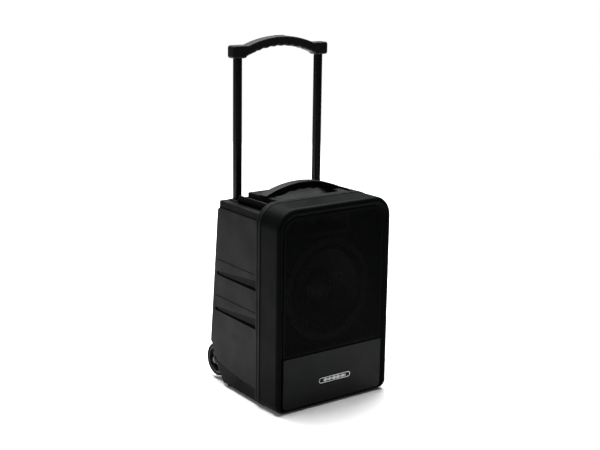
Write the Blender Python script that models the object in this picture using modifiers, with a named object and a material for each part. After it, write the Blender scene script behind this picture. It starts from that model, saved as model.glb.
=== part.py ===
"""Trolley party speaker: a moulded two-way cabinet on two wheels, with a pull-out trolley handle.

Metres, +Z up. The front faces -Y. The origin is on the floor, at the centre of the object's plan box.
"""

import math

import bmesh
import bpy
from mathutils import Euler, Matrix, Vector

# ---------------------------------------------------------------- driving dimensions
FRONT = -0.172  # y of the foremost face, the bezel's lip
GAP = 0.0003  # between pieces that rest on each other
WALL = 0.004  # moulded wall

WIDTH = 0.340  # the bezel's full width, the widest part
BEZEL_DEPTH = 0.0895
BEZEL_BOTTOM = 0.003
DECK_TOP = 0.4965  # the bezel's top and the deck behind it
BEZEL_TOP_RADIUS = 0.052
BEZEL_BOTTOM_RADIUS = 0.022
LIP_FILLET = 0.010
LIP_DEPTH = 0.012
WINDOW_HALF = 0.150  # the front opening that the grille and the lower panel fill
WINDOW_TOP = 0.474
WINDOW_BOTTOM = 0.0085
WINDOW_TOP_RADIUS = 0.036
WINDOW_BOTTOM_RADIUS = 0.012
GRILLE_BOTTOM = 0.1370
LEDGE = 0.004  # rim behind the grille that it rests on

SHELL_HALF = 0.166  # half width of the rear shell where it meets the bezel
SHELL_TAPER = 0.05  # that half width lost per metre towards the rear
SHELL_BOTTOM = 0.010
SHOULDER_TOP = 0.4725  # the ledge round the deck, where the trolley tubes come out
REAR_TOP = 0.266  # depth of the rear face at the shoulder
REAR_LEAN = 0.1008  # the rear face's run out per metre down
SIDE_PROUD = 0.003  # the raised side panels stand out from the body by this
PANEL_TOP = 0.4545
DECK_HALF = 0.1075
DECK_REAR = 0.212
CHEEK_OUTER = 0.139  # the low outer walls beside the pockets
CHEEK_INNER = 0.133
CHEEK_REAR = 0.209
CHEEK_TOP = 0.4925
POCKET_FLOOR = 0.452
GROOVE_DEEP = 0.0045
POCKET_REAR = 0.204
SCOOP_HALF = 0.086
SCOOP_RADIUS = 0.065
SCOOP_AXIS = 0.047  # height of the dish's axis above the deck

TUBE_X = 0.1203
TUBE_DEPTH = 0.239
TUBE_SIZE = 0.017
TUBE_WALL = 0.0012
SLEEVE_SIZE = 0.0217
SLEEVE_BORE = 0.0181
GRIP_BOTTOM = 0.816
GRIP_BLOCK_TOP = 0.8465
GRIP_CREST = 0.8650  # top of the arched middle
GRIP_THICK = 0.0235
GRIP_HALF = 0.1405
GRIP_BLOCK_INNER = 0.101
GRIP_HALF_DEPTH = 0.0145
TUBE_BOTTOM = 0.382

HANDLE_DEPTH = 0.143
HANDLE_HALF = 0.112
HANDLE_TOP = 0.524
HANDLE_THICK = 0.0175
HANDLE_HALF_DEPTH = 0.013

WHEEL_RADIUS = 0.043
WHEEL_DEPTH = 0.301
WHEEL_Z = 0.0515
WHEEL_INNER = 0.119
WHEEL_OUTER = 0.1435
RIM_RADIUS = 0.0345
WELL_RADIUS = 0.0475
WELL_INNER = 0.113
WELL_OUTER = 0.148  # inner side of the fender, the outer wall that covers the front of the wheel
FENDER_TOP = 0.100
AXLE_RADIUS = 0.005

BAFFLE_FRONT = 0.034
BAFFLE_THICK = 0.012
WOOFER_Z = 0.278
WOOFER_RADIUS = 0.126
WOOFER_HOLE = 0.1145
TWEETER_Z = 0.439
TWEETER_HALF_WIDTH = 0.062
TWEETER_HALF_HEIGHT = 0.026

PANEL_Z = 0.268  # centre of the rear control plate
PANEL_HALF_WIDTH = 0.098
PANEL_HALF_HEIGHT = 0.140
PANEL_THICK = 0.002
KNOB_RADIUS = 0.009
KNOB_HEIGHT = 0.013
SHAFT_RADIUS = 0.003
BUTTON_HALF = 0.0045
TRAY_DEEP = 0.0305
TRAY_WALL = 0.0015
LEAN = math.atan(REAR_LEAN)


# ---------------------------------------------------------------- scene and materials
for leftover in list(bpy.data.objects):
    bpy.data.objects.remove(leftover)

PARTS = bpy.data.collections.new("party_speaker")
CUTTERS = bpy.data.collections.new("cutters")
bpy.context.scene.collection.children.link(PARTS)
bpy.context.scene.collection.children.link(CUTTERS)


def material(name, colour, roughness, metallic=0.0):
    made = bpy.data.materials.new(name)
    made.use_nodes = True
    shader = made.node_tree.nodes["Principled BSDF"]
    shader.inputs["Base Color"].default_value = (*colour, 1.0)
    shader.inputs["Roughness"].default_value = roughness
    shader.inputs["Metallic"].default_value = metallic
    return made


ABS = material("black_abs", (0.020, 0.021, 0.021), 0.55)
GLOSS = material("satin_black_abs", (0.012, 0.013, 0.014), 0.35)
STEEL = material("black_steel", (0.010, 0.010, 0.012), 0.45, 0.6)
TUBE = material("black_anodised_tube", (0.015, 0.015, 0.016), 0.35, 0.8)
RUBBER = material("rubber", (0.015, 0.015, 0.015), 0.85)
ZINC = material("zinc_steel", (0.45, 0.45, 0.46), 0.35, 1.0)
PLATE = material("nameplate_aluminium", (0.75, 0.76, 0.78), 0.3, 1.0)
PAPER = material("cone_paper", (0.020, 0.020, 0.020), 0.8)
FERRITE = material("ferrite", (0.06, 0.06, 0.065), 0.6, 0.4)
BOARD = material("baffle_board", (0.030, 0.028, 0.026), 0.8)
CIRCUIT = material("circuit_board", (0.02, 0.16, 0.06), 0.5)
CELL = material("battery_case", (0.10, 0.10, 0.11), 0.6)
WINDOW = material("display_window", (0.01, 0.02, 0.04), 0.1)


# ---------------------------------------------------------------- building blocks
def depth(distance):
    """The y of a point that lies this far behind the bezel's lip."""
    return FRONT + distance


def place(name, mesh, finish, cutter=False):
    """An object with that mesh. A cutter is kept out of the model."""
    made = bpy.data.objects.new(name, mesh)
    (CUTTERS if cutter else PARTS).objects.link(made)
    if cutter:
        made.hide_render = True
        made.display_type = "WIRE"
    else:
        mesh.materials.append(finish)
    return made


def baked(source, name, finish, cutter=False):
    """The object's evaluated shape as a closed mesh in world space. The source is removed."""
    bpy.context.view_layer.update()
    graph = bpy.context.evaluated_depsgraph_get()
    mesh = bpy.data.meshes.new_from_object(source.evaluated_get(graph))
    mesh.materials.clear()
    shape = bmesh.new()
    shape.from_mesh(mesh)
    shape.transform(source.matrix_world)
    bmesh.ops.remove_doubles(shape, verts=shape.verts, dist=1e-6)
    bmesh.ops.recalc_face_normals(shape, faces=shape.faces)
    shape.to_mesh(mesh)
    shape.free()
    bpy.data.objects.remove(source)
    return place(name, mesh, finish, cutter)


FACINGS = {
    "front": Euler((math.pi / 2, 0, 0)),  # outline in X and Z, thickness along Y
    "side": Euler((math.pi / 2, 0, math.pi / 2)),  # outline in Y and Z, thickness along X
    "top": Euler((0, 0, 0)),  # outline in X and Y, thickness along Z
}
THICKNESS_AXIS = {"front": Vector((0, 1, 0)), "side": Vector((1, 0, 0)), "top": Vector((0, 0, 1))}


def prism(name, outlines, low, high, facing, finish=None, cutter=False):
    """A flat outline, and the holes in it, given thickness from low to high."""
    curve = bpy.data.curves.new(name, "CURVE")
    curve.dimensions = "2D"
    curve.fill_mode = "BOTH"
    curve.extrude = (high - low) / 2
    for outline in outlines:
        spline = curve.splines.new("POLY")
        spline.points.add(len(outline) - 1)
        for point, (u, v) in zip(spline.points, outline):
            point.co = (u, v, 0, 1)
        spline.use_cyclic_u = True
    flat = bpy.data.objects.new(name + "_outline", curve)
    PARTS.objects.link(flat)
    flat.rotation_euler = FACINGS[facing]
    flat.location = THICKNESS_AXIS[facing] * (low + high) / 2
    return baked(flat, name, finish, cutter)


def turned(name, profile, steps, centre, axis, finish=None, cutter=False, closed=True):
    """A (radius, along) profile swept round an axis. An open profile ends on the axis."""
    mesh = bpy.data.meshes.new(name)
    ends = [(i, i + 1) for i in range(len(profile) - 1)]
    if closed:
        ends.append((len(profile) - 1, 0))
    mesh.from_pydata([(radius, 0, along) for radius, along in profile], ends, [])
    lathe = bpy.data.objects.new(name + "_profile", mesh)
    PARTS.objects.link(lathe)
    screw = lathe.modifiers.new("Screw", "SCREW")
    screw.steps = screw.render_steps = steps
    screw.use_merge_vertices = True
    screw.merge_threshold = 1e-5
    lathe.rotation_mode = "QUATERNION"
    lathe.rotation_quaternion = Vector((0, 0, 1)).rotation_difference(Vector(axis))
    lathe.location = centre
    return baked(lathe, name, finish, cutter)


def cylinder(name, radius, low, high, centre, axis, finish=None, cutter=False, steps=24):
    """A rod that runs along the axis from low to high, measured from the centre."""
    profile = [(0, high), (radius, high), (radius, low), (0, low)]
    return turned(name, profile, steps, centre, axis, finish, cutter, closed=False)


def box(name, low, high, finish=None, cutter=False):
    """A box between two corners."""
    bpy.ops.mesh.primitive_cube_add(size=1)
    cube = bpy.context.active_object
    low, high = Vector(low), Vector(high)
    cube.data.transform(Matrix.Diagonal((*(high - low), 1)))
    cube.data.transform(Matrix.Translation((low + high) / 2))
    return baked(cube, name, finish, cutter)


def boolean(target, tool, operation):
    tool.hide_render = True
    tool.display_type = "WIRE"
    if tool.name in PARTS.objects:
        PARTS.objects.unlink(tool)
        CUTTERS.objects.link(tool)
    change = target.modifiers.new(operation.title(), "BOOLEAN")
    change.operation = operation
    change.object = tool
    change.solver = "EXACT"


def cut(target, *tools):
    for tool in tools:
        boolean(target, tool, "DIFFERENCE")


def join(target, *tools):
    for tool in tools:
        boolean(target, tool, "UNION")


def bevel(target, width, segments=3, wanted=None):
    """Rounds the mesh's sharp edges, or only those whose two ends are wanted."""
    shape = bmesh.new()
    shape.from_mesh(target.data)
    bmesh.ops.dissolve_limit(shape, angle_limit=0.01, verts=shape.verts, edges=shape.edges)
    edges = [
        e
        for e in shape.edges
        if len(e.link_faces) == 2
        and e.calc_face_angle(0) > math.radians(40)
        and (wanted is None or all(wanted(v.co) for v in e.verts))
    ]
    bmesh.ops.bevel(
        shape, geom=edges, offset=width, segments=segments, profile=0.5, affect="EDGES", clamp_overlap=True
    )
    bmesh.ops.triangulate(shape, faces=[f for f in shape.faces if len(f.verts) > 4])
    shape.to_mesh(target.data)
    shape.free()


def pivot(target, point):
    """Moves the object's origin to a point on its joint's axis; the shape stays where it is."""
    target.data.transform(Matrix.Translation(-Vector(point)))
    target.location = point
    return target


def arc(centre, radius, start, end, steps):
    """Points on a circle from one angle to another, in degrees, both ends included."""
    angles = [math.radians(start + (end - start) * i / steps) for i in range(steps + 1)]
    return [(centre[0] + radius * math.cos(a), centre[1] + radius * math.sin(a)) for a in angles]


def rounded(half, bottom, top, bottom_radius, top_radius, steps=6, centre=0.0):
    """A symmetric upright outline with its own corner radii at the bottom and the top."""
    out = arc((centre + half - bottom_radius, bottom + bottom_radius), bottom_radius, -90, 0, steps)
    out += arc((centre + half - top_radius, top - top_radius), top_radius, 0, 90, steps)
    out += arc((centre - half + top_radius, top - top_radius), top_radius, 90, 180, steps)
    out += arc((centre - half + bottom_radius, bottom + bottom_radius), bottom_radius, 180, 270, steps)
    return out


def square(half, centre=(0, 0), radius=0.002, steps=2):
    """A square outline with small round corners about a centre."""
    return rounded_rectangle(half, half, centre, radius, steps)


def rounded_rectangle(half_width, half_height, centre=(0, 0), radius=0.002, steps=2):
    low, high = centre[1] - half_height, centre[1] + half_height
    return rounded(half_width, low, high, radius, radius, steps, centre[0])


def circle(radius, centre=(0, 0), steps=20):
    return arc(centre, radius, 0, 360 * (steps - 1) / steps, steps - 1)


# ---------------------------------------------------------------- front bezel, grille and lower panel
def outer_outline(inset=0.0):
    return rounded(
        WIDTH / 2 - inset,
        BEZEL_BOTTOM + inset,
        DECK_TOP - inset,
        BEZEL_BOTTOM_RADIUS - inset,
        BEZEL_TOP_RADIUS - inset,
    )


def window_outline(inset=0.0):
    return rounded(
        WINDOW_HALF - inset,
        WINDOW_BOTTOM + inset,
        WINDOW_TOP - inset,
        WINDOW_BOTTOM_RADIUS - inset,
        WINDOW_TOP_RADIUS - inset,
    )


def front_bezel():
    """The deep frame round the grille: rounded lip, side walls and a rim that the grille rests on."""
    bezel = prism("front_bezel", [outer_outline()], depth(0), depth(BEZEL_DEPTH), "front", ABS)
    bevel(bezel, LIP_FILLET, 4, lambda co: co.y < depth(0.001))
    hollow = prism(
        "bezel_hollow", [outer_outline(WALL)], depth(LIP_DEPTH), depth(BEZEL_DEPTH + WALL), "front",
        cutter=True
    )
    window = prism(
        "bezel_window", [window_outline()], depth(-WALL), depth(LIP_DEPTH - 0.0035), "front", cutter=True
    )
    rim = prism(
        "bezel_rim_hole", [window_outline(LEDGE)], depth(-WALL), depth(LIP_DEPTH + WALL), "front",
        cutter=True
    )
    cut(bezel, hollow, window, rim)


def grille_and_panel():
    """The perforated steel grille above, and the smooth panel with the nameplate below it."""
    seat = LIP_DEPTH - 0.0035 - GAP
    clear = 0.0006
    top_radius = WINDOW_TOP_RADIUS - clear
    bottom_radius = WINDOW_BOTTOM_RADIUS - clear
    half = WINDOW_HALF - clear
    grille = rounded(half, GRILLE_BOTTOM, WINDOW_TOP - clear, 0.001, top_radius)
    prism("grille", [grille], depth(seat - 0.0018), depth(seat), "front", STEEL)
    panel = rounded(half, WINDOW_BOTTOM + clear, GRILLE_BOTTOM - 0.0012, bottom_radius, 0.001)
    prism("lower_panel", [panel], depth(seat - 0.0045), depth(seat), "front", GLOSS)
    badge = rounded_rectangle(0.044, 0.006, (0.004, 0.0635), 0.0015)
    back = seat - 0.0045 - GAP
    prism("nameplate", [badge], depth(back - 0.0012), depth(back), "front", PLATE)


# ---------------------------------------------------------------- rear shell
def shell_half(y):
    """Half width of the shell at this y."""
    return SHELL_HALF - SHELL_TAPER * (y - depth(BEZEL_DEPTH))


def rear_y(z, inset=0.0):
    """The y of the leaning rear face at this height."""
    return depth(REAR_TOP + REAR_LEAN * (SHOULDER_TOP - z)) - inset


def body_profile(inset=0.0):
    """Side view of the shell's body: bottom, leaning back and the shoulder."""
    front = depth(BEZEL_DEPTH) + GAP
    return [
        (front, SHELL_BOTTOM + inset),
        (rear_y(SHELL_BOTTOM, inset), SHELL_BOTTOM + inset),
        (rear_y(SHOULDER_TOP, inset), SHOULDER_TOP - inset),
        (front, SHOULDER_TOP - inset),
    ]


def fender_profile(lift=0.0):
    """Points up the fender's rear edge, which uncovers the rear of the wheel."""
    edge = [
        (0.2470, 0.0090),
        (0.2590, 0.0230),
        (0.2700, 0.0390),
        (0.2790, 0.0550),
        (0.2900, 0.0710),
        (0.3010, 0.0890),
    ]
    return [(depth(d - lift * 0.6), z + lift) for d, z in edge]


def panel_profile():
    """Side view of a raised side panel. Its lower edge rises to the rear and follows the fender's edge."""
    front = depth(BEZEL_DEPTH) + GAP
    lower = [(front, 0.0415), (depth(0.1600), 0.0455), (depth(0.2300), 0.0530)]
    lower += fender_profile(0.0070)[3:]
    rise = 0.1040
    radius = 0.010
    corner = (rear_y(PANEL_TOP, 0.004 + radius), PANEL_TOP - radius)
    rear = [(rear_y(rise, 0.004), rise)]
    return lower + rear + arc(corner, radius, 0, 90, 4) + [(front, PANEL_TOP)]


def tapered(target, sideways):
    """Draws a shape's sides in towards the rear, so that it follows the shell's plan."""
    for vertex in target.data.vertices:
        vertex.co.x = sideways(vertex.co)


def wheel_centre(side):
    return (side * (WHEEL_INNER + WHEEL_OUTER) / 2, depth(WHEEL_DEPTH), WHEEL_Z)


def well(name, side, grown=0.0):
    """The round room about a wheel, open below and behind."""
    radius = WELL_RADIUS + grown
    axle = (0, depth(WHEEL_DEPTH), WHEEL_Z)
    low, high = sorted((side * (WELL_INNER - grown), side * (WELL_OUTER + grown)))
    room = cylinder(name, radius, low, high, axle, (1, 0, 0), cutter=True, steps=28)
    low_corner = (low + GAP, depth(WHEEL_DEPTH) - radius, -WALL)
    corner = box(name + "_corner", low_corner, (high - GAP, depth(WHEEL_DEPTH) + 0.1, WHEEL_Z), cutter=True)
    join(room, corner)
    return room


def fender_trim(name, side):
    """What is cut from the outer wall behind and below the fender's edge."""
    outline = [(depth(0.2470), -WALL), *fender_profile(), (depth(0.3060), FENDER_TOP)]
    outline += [(depth(0.4), FENDER_TOP), (depth(0.4), -WALL)]
    low, high = sorted((side * (WELL_INNER + 0.001), side * WIDTH))
    return prism(name, [outline], low, high, "side", cutter=True)


def pocket(name, side, grown=0.0):
    """The open pocket between the deck and the low outer wall beside it."""
    low, high = sorted((side * (DECK_HALF - grown), side * (CHEEK_INNER + grown)))
    front, rear = depth(0.100 - grown), depth(POCKET_REAR + grown)
    return box(name, (low, front, POCKET_FLOOR - grown), (high, rear, DECK_TOP + WALL), cutter=True)


def deck(name, inset=0.0):
    """The raised deck that carries the handle, from the bezel to the shoulder."""
    front = depth(BEZEL_DEPTH) + GAP
    half = DECK_HALF - inset
    return box(
        name,
        (-half, front, SHOULDER_TOP - 0.02),
        (half, depth(DECK_REAR) - inset, DECK_TOP - inset),
        cutter=True,
    )


def cheek(name, side):
    low, high = sorted((side * CHEEK_INNER, side * CHEEK_OUTER))
    front = depth(BEZEL_DEPTH) + GAP
    return box(name, (low, front, POCKET_FLOOR), (high, depth(CHEEK_REAR), CHEEK_TOP), cutter=True)


def scoop(name, grown=0.0):
    """The dished finger room under the carry handle."""
    axis = (0, depth(HANDLE_DEPTH), DECK_TOP + SCOOP_AXIS)
    half = SCOOP_HALF + grown
    return cylinder(name, SCOOP_RADIUS + grown, -half, half, axis, (1, 0, 0), cutter=True, steps=64)


def side_groove(name, side, middle):
    """A slot along a side panel, taller towards the front."""
    front, rear = depth(BEZEL_DEPTH) - WALL, depth(0.276)
    outline = [
        (front, middle - 0.0060), (rear, middle - 0.0025), (rear, middle + 0.0025), (front, middle + 0.0060)
    ]
    groove = prism(name, [outline], *sorted((side * 0.1, side * WIDTH)), "side", cutter=True)
    tapered(groove, lambda co: side * (shell_half(co.y) - GROOVE_DEEP) if abs(co.x) < 0.11 else co.x)
    return groove


def face_frame():
    """An empty on the rear face at the control plate's centre: +Z out of the face, +Y up it."""
    frame = bpy.data.objects.new("rear_face", None)
    PARTS.objects.link(frame)
    frame.location = (0, rear_y(PANEL_Z), PANEL_Z)
    frame.rotation_euler = (math.pi / 2 + (-LEAN), 0, math.pi)
    bpy.context.view_layer.update()
    return frame.matrix_world.copy()


def tilted(target, frame):
    """Moves a shape made about the origin onto the rear face."""
    target.data.transform(frame)
    return target


def rear_shell(frame):
    """The moulded tub: body, raised side panels, deck, wheel wells and the recess for the control plate."""
    shell = prism("rear_shell", [body_profile()], -0.5, 0.5, "side", ABS)
    tapered(shell, lambda co: math.copysign(shell_half(co.y) - SIDE_PROUD, co.x))
    bevel(shell, 0.005, 2, lambda co: co.y > depth(BEZEL_DEPTH) + 0.004)
    join(shell, deck("deck"))
    sides = ((-1, "left"), (1, "right"))
    for side, name in sides:
        panel = prism("side_panel_" + name, [panel_profile()], -0.5, 0.5, "side", cutter=True)
        tapered(
            panel, lambda co, s=side: s * (shell_half(co.y) - (0 if co.x * s > 0 else SIDE_PROUD + 0.002))
        )
        join(shell, panel, cheek("cheek_" + name, side))
    cavity = prism("shell_cavity", [body_profile(WALL)], -0.5, 0.5, "side", cutter=True)
    mouth = depth(BEZEL_DEPTH) - 0.002
    for vertex in cavity.data.vertices:
        if vertex.co.y < depth(BEZEL_DEPTH) + 0.001:
            vertex.co.y = mouth
    tapered(cavity, lambda co: math.copysign(shell_half(co.y) - SIDE_PROUD - WALL, co.x))
    room = deck("deck_room", WALL)
    for vertex in room.data.vertices:
        if vertex.co.y < depth(BEZEL_DEPTH) + 0.001:
            vertex.co.y = mouth
    join(cavity, room)
    for side, name in sides:
        cut(cavity, well("well_wall_" + name, side, 0.003), pocket("pocket_wall_" + name, side, 0.003))
    cut(cavity, scoop("scoop_wall", 0.003))
    cut(shell, cavity, scoop("scoop"))
    for side, name in sides:
        cut(
            shell,
            well("well_" + name, side),
            fender_trim("fender_trim_" + name, side),
            pocket("pocket_" + name, side),
        )
        cut(
            shell,
            side_groove("upper_groove_" + name, side, 0.2900),
            side_groove("lower_groove_" + name, side, 0.1920),
        )
        centre = (side * TUBE_X, depth(TUBE_DEPTH))
        outline = square(SLEEVE_SIZE / 2 + 0.0005, centre)
        tube_hole = prism(
            "tube_hole_" + name, [outline], SHOULDER_TOP - 0.02, SHOULDER_TOP + 0.01, "top", cutter=True
        )
        hub = (side * WELL_INNER, depth(WHEEL_DEPTH), WHEEL_Z)
        cut(
            shell,
            tube_hole,
            cylinder("axle_hole_" + name, AXLE_RADIUS + GAP, -0.01, 0.01, hub, (1, 0, 0), cutter=True),
        )
    grown = 0.0006
    recess_outline = rounded_rectangle(PANEL_HALF_WIDTH + grown, PANEL_HALF_HEIGHT + grown, radius=0.006)
    recess = prism("plate_recess", [recess_outline], -PANEL_THICK - GAP, 0.02, "top", cutter=True)
    hole_outline = rounded_rectangle(PANEL_HALF_WIDTH - 0.007, PANEL_HALF_HEIGHT - 0.007)
    hole = prism("plate_opening", [hole_outline], -0.02, 0.02, "top", cutter=True)
    cut(shell, tilted(recess, frame), tilted(hole, frame))


# ---------------------------------------------------------------- drivers
def loudspeakers():
    front = depth(BAFFLE_FRONT)
    inset = WALL + 0.0012
    holes = [circle(WOOFER_HOLE, (0, WOOFER_Z), 36)]
    holes.append(
        rounded_rectangle(TWEETER_HALF_WIDTH - 0.006, TWEETER_HALF_HEIGHT - 0.006, (0, TWEETER_Z), 0.004)
    )
    prism("baffle", [outer_outline(inset), *holes], front, front + BAFFLE_THICK, "front", BOARD)

    woofer = (0, front, WOOFER_Z)
    rearward = (0, 1, 0)
    edge = WOOFER_HOLE - 0.001
    basket = [
        (WOOFER_RADIUS, -0.0045), (WOOFER_RADIUS, -GAP), (edge, -GAP), (edge, BAFFLE_THICK),
        (0.062, 0.075), (0.036, 0.075), (0.036, 0.072), (0.059, 0.072), (0.1100, 0.010), (0.1100, -0.0045),
    ]
    turned("woofer_basket", basket, 36, woofer, rearward, STEEL)
    roll = [
        (0.1030 + 0.0065 * math.cos(a), -0.0065 * math.sin(a)) for a in (math.pi * i / 6 for i in range(7))
    ]
    surround = roll + [(0.0965, 0.0015), (0.1095, 0.0015)]
    turned("woofer_surround", surround, 36, woofer, rearward, RUBBER)
    cone = [
        (0.0960, 0.0000), (0.0960, 0.0016), (0.0262, 0.0490), (0.0262, 0.0790),
        (0.0254, 0.0790), (0.0254, 0.0470), (0.0300, 0.0435), (0.0940, 0.0000),
    ]
    pivot(turned("woofer_cone", cone, 36, woofer, rearward, PAPER), woofer)
    cap_radius, cap_depth, crown = 0.0400, 0.0352, 0.0110
    dome = [
        (cap_radius * math.sin(a), cap_depth - crown * math.cos(a))
        for a in (math.pi / 2 * i / 5 for i in range(6))
    ]
    inside = [(cap_radius - 0.0012, cap_depth), (0, cap_depth - crown + 0.0015)]
    pivot(turned("woofer_dust_cap", dome + inside, 28, woofer, rearward, PAPER, closed=False), woofer)
    magnet = [
        (0, 0.1080), (0.0640, 0.1080), (0.0640, 0.0755), (0.0285, 0.0755), (0.0285, 0.0900),
        (0.0235, 0.0900), (0.0235, 0.0755), (0, 0.0755),
    ]
    turned("woofer_magnet", magnet, 32, woofer, rearward, FERRITE, closed=False)

    horn = prism(
        "tweeter_horn",
        [rounded_rectangle(TWEETER_HALF_WIDTH, TWEETER_HALF_HEIGHT, (0, TWEETER_Z), 0.005)],
        front - 0.0045, front - GAP, "front", ABS,
    )
    back = prism(
        "horn_back",
        [rounded_rectangle(TWEETER_HALF_WIDTH - 0.007, TWEETER_HALF_HEIGHT - 0.007, (0, TWEETER_Z), 0.004)],
        front - 0.001, front + 0.034, "front", cutter=True,
    )
    join(horn, back)
    mouth = box("horn_mouth", (-1, -1, -1), (1, 1, 1), cutter=True)
    for vertex in mouth.data.vertices:
        rear = vertex.co.y > 0
        half_width, half_height = (0.012, 0.012) if rear else (0.053, 0.0175)
        vertex.co.x = math.copysign(half_width, vertex.co.x)
        vertex.co.z = TWEETER_Z + math.copysign(half_height, vertex.co.z)
        vertex.co.y = front + (0.029 if rear else -0.006)
    cut(horn, mouth)
    cylinder("tweeter_driver", 0.024, GAP, 0.026, (0, front + 0.034, TWEETER_Z), rearward, FERRITE)


# ---------------------------------------------------------------- trolley handle
def trolley():
    y = depth(TUBE_DEPTH)
    for side, name in ((-1, "left"), (1, "right")):
        centre = (side * TUBE_X, y)
        half = SLEEVE_SIZE / 2
        prism(
            "sleeve_" + name, [square(half, centre), square(SLEEVE_BORE / 2, centre)],
            SHELL_BOTTOM + WALL + 0.004, SHOULDER_TOP - 0.006, "top", ZINC,
        )
        collar = prism(
            "tube_collar_" + name, [square(0.0145, centre, 0.003), square(SLEEVE_BORE / 2, centre)],
            SHOULDER_TOP + GAP, SHOULDER_TOP + 0.0035, "top", ABS,
        )
        neck = prism(
            "collar_neck_" + name, [square(half, centre), square(SLEEVE_BORE / 2, centre)],
            SHOULDER_TOP - 0.005, SHOULDER_TOP + 0.001, "top", cutter=True,
        )
        join(collar, neck)
        tube = prism(
            "trolley_tube_" + name,
            [square(TUBE_SIZE / 2, centre, 0.003, 3), square(TUBE_SIZE / 2 - TUBE_WALL, centre, 0.002)],
            TUBE_BOTTOM, GRIP_BOTTOM - GAP, "top", TUBE,
        )
        pivot(tube, (0, y, GRIP_BOTTOM))

    steps = 14
    fall = 2.0  # the arch's drop per square metre off the middle

    def arch(x, top):
        return top - fall * x * x

    shoulder = math.sqrt((GRIP_CREST - GRIP_BLOCK_TOP) / fall)
    xs = [shoulder * (1 - 2 * i / steps) for i in range(steps + 1)]
    top = [(x, arch(x, GRIP_CREST)) for x in xs]
    bottom = [
        (-x * GRIP_BLOCK_INNER / shoulder, arch(x * GRIP_BLOCK_INNER / shoulder, GRIP_CREST - GRIP_THICK))
        for x in xs
    ]
    block = [
        (-GRIP_HALF, GRIP_BLOCK_TOP), (-GRIP_HALF, GRIP_BOTTOM), (-GRIP_BLOCK_INNER - 0.002, GRIP_BOTTOM)
    ]
    outline = top + block + bottom + [(-x, z) for x, z in reversed(block)]
    grip = prism("trolley_grip", [outline], y - GRIP_HALF_DEPTH, y + GRIP_HALF_DEPTH, "front", ABS)
    bevel(grip, 0.004, 2)
    crest = GRIP_CREST
    room = prism(
        "button_room", [rounded_rectangle(0.0155, 0.0065, (0, y), 0.006, 4)], crest - 0.008, crest + 0.01,
        "top",
        cutter=True,
    )
    cut(grip, room)
    pivot(grip, (0, y, GRIP_BOTTOM))
    button = prism(
        "release_button", [rounded_rectangle(0.0150, 0.0060, (0, y), 0.0055, 4)], crest - 0.0035,
        crest + 0.0010,
        "top", GLOSS,
    )
    pivot(button, (0, y, crest))


def carry_handle():
    y = depth(HANDLE_DEPTH)
    steps = 14
    drop = (HANDLE_TOP - DECK_TOP - 0.004) / HANDLE_HALF**2
    foot = 0.088

    def arch(x):
        return HANDLE_TOP - drop * x * x

    top = [(x, arch(x)) for x in (HANDLE_HALF * (1 - 2 * i / steps) for i in range(steps + 1))]
    bottom = [(x, arch(x) - HANDLE_THICK) for x in (foot * (2 * i / steps - 1) for i in range(steps + 1))]
    base = DECK_TOP + GAP
    bottom = [(x, max(z, base)) for x, z in bottom]
    outline = top + [(-HANDLE_HALF, base)] + bottom + [(HANDLE_HALF, base)]
    handle = prism("carry_handle", [outline], y - HANDLE_HALF_DEPTH, y + HANDLE_HALF_DEPTH, "front", ABS)
    bevel(handle, 0.0035, 2, lambda co: co.z > base + 0.001)


# ---------------------------------------------------------------- wheels and feet
def wheels():
    for side, name in ((-1, "left"), (1, "right")):
        centre = wheel_centre(side)
        half = (WHEEL_OUTER - WHEEL_INNER) / 2
        shoulder = WHEEL_RADIUS - 0.003
        tyre = [
            (RIM_RADIUS + GAP, half), (shoulder, half), (WHEEL_RADIUS, half - 0.005),
            (WHEEL_RADIUS, 0.005 - half),
            (shoulder, -half), (RIM_RADIUS + GAP, -half),
        ]
        turned("tyre_" + name, tyre, 36, centre, (1, 0, 0), RUBBER)
        bore = AXLE_RADIUS + 0.0001
        out = [
            (RIM_RADIUS, half - 0.0015), (RIM_RADIUS, 0.0015 - half), (bore, 0.0015 - half),
            (bore, half - 0.0005),
            (0.011, half - 0.0005), (0.011, half - 0.007), (RIM_RADIUS - 0.005, half - 0.007),
            (RIM_RADIUS - 0.005, half - 0.0015),
        ]
        out = [(radius, along * side) for radius, along in out]
        rim = turned("wheel_rim_" + name, out, 36, centre, (1, 0, 0), ABS)
        for spoke in range(5):
            turn = math.radians(36 + 72 * spoke)
            at = (centre[1] + 0.0205 * math.sin(turn), centre[2] + 0.0205 * math.cos(turn))
            hole = prism(
                f"rim_hole_{name}_{spoke}", [circle(0.0058, at, 10)], *sorted((side * 0.1, side * 0.16)),
                "side",
                cutter=True,
            )
            cut(rim, hole)
        pivot(bpy.data.objects["tyre_" + name], centre)
        axle_profile = [
            (0, 0.0175), (0.009, 0.0155), (0.009, 0.0125), (AXLE_RADIUS, 0.0125), (AXLE_RADIUS, -0.024),
            (0, -0.024),
        ]
        axle_profile = [(radius, along * side) for radius, along in axle_profile]
        turned("axle_bolt_" + name, axle_profile, 20, centre, (1, 0, 0), ZINC, closed=False)
    for side, name in ((-1, "left"), (1, "right")):
        for distance, top, end in ((0.045, BEZEL_BOTTOM, "front"), (0.237, SHELL_BOTTOM, "rear")):
            foot = [(0, top - GAP), (0.012, top - GAP), (0.0105, 0), (0, 0)]
            turned(
                f"foot_{end}_{name}",
                foot,
                18,
                (side * 0.136, depth(distance), 0),
                (0, 0, 1),
                RUBBER,
                closed=False,
            )


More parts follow.
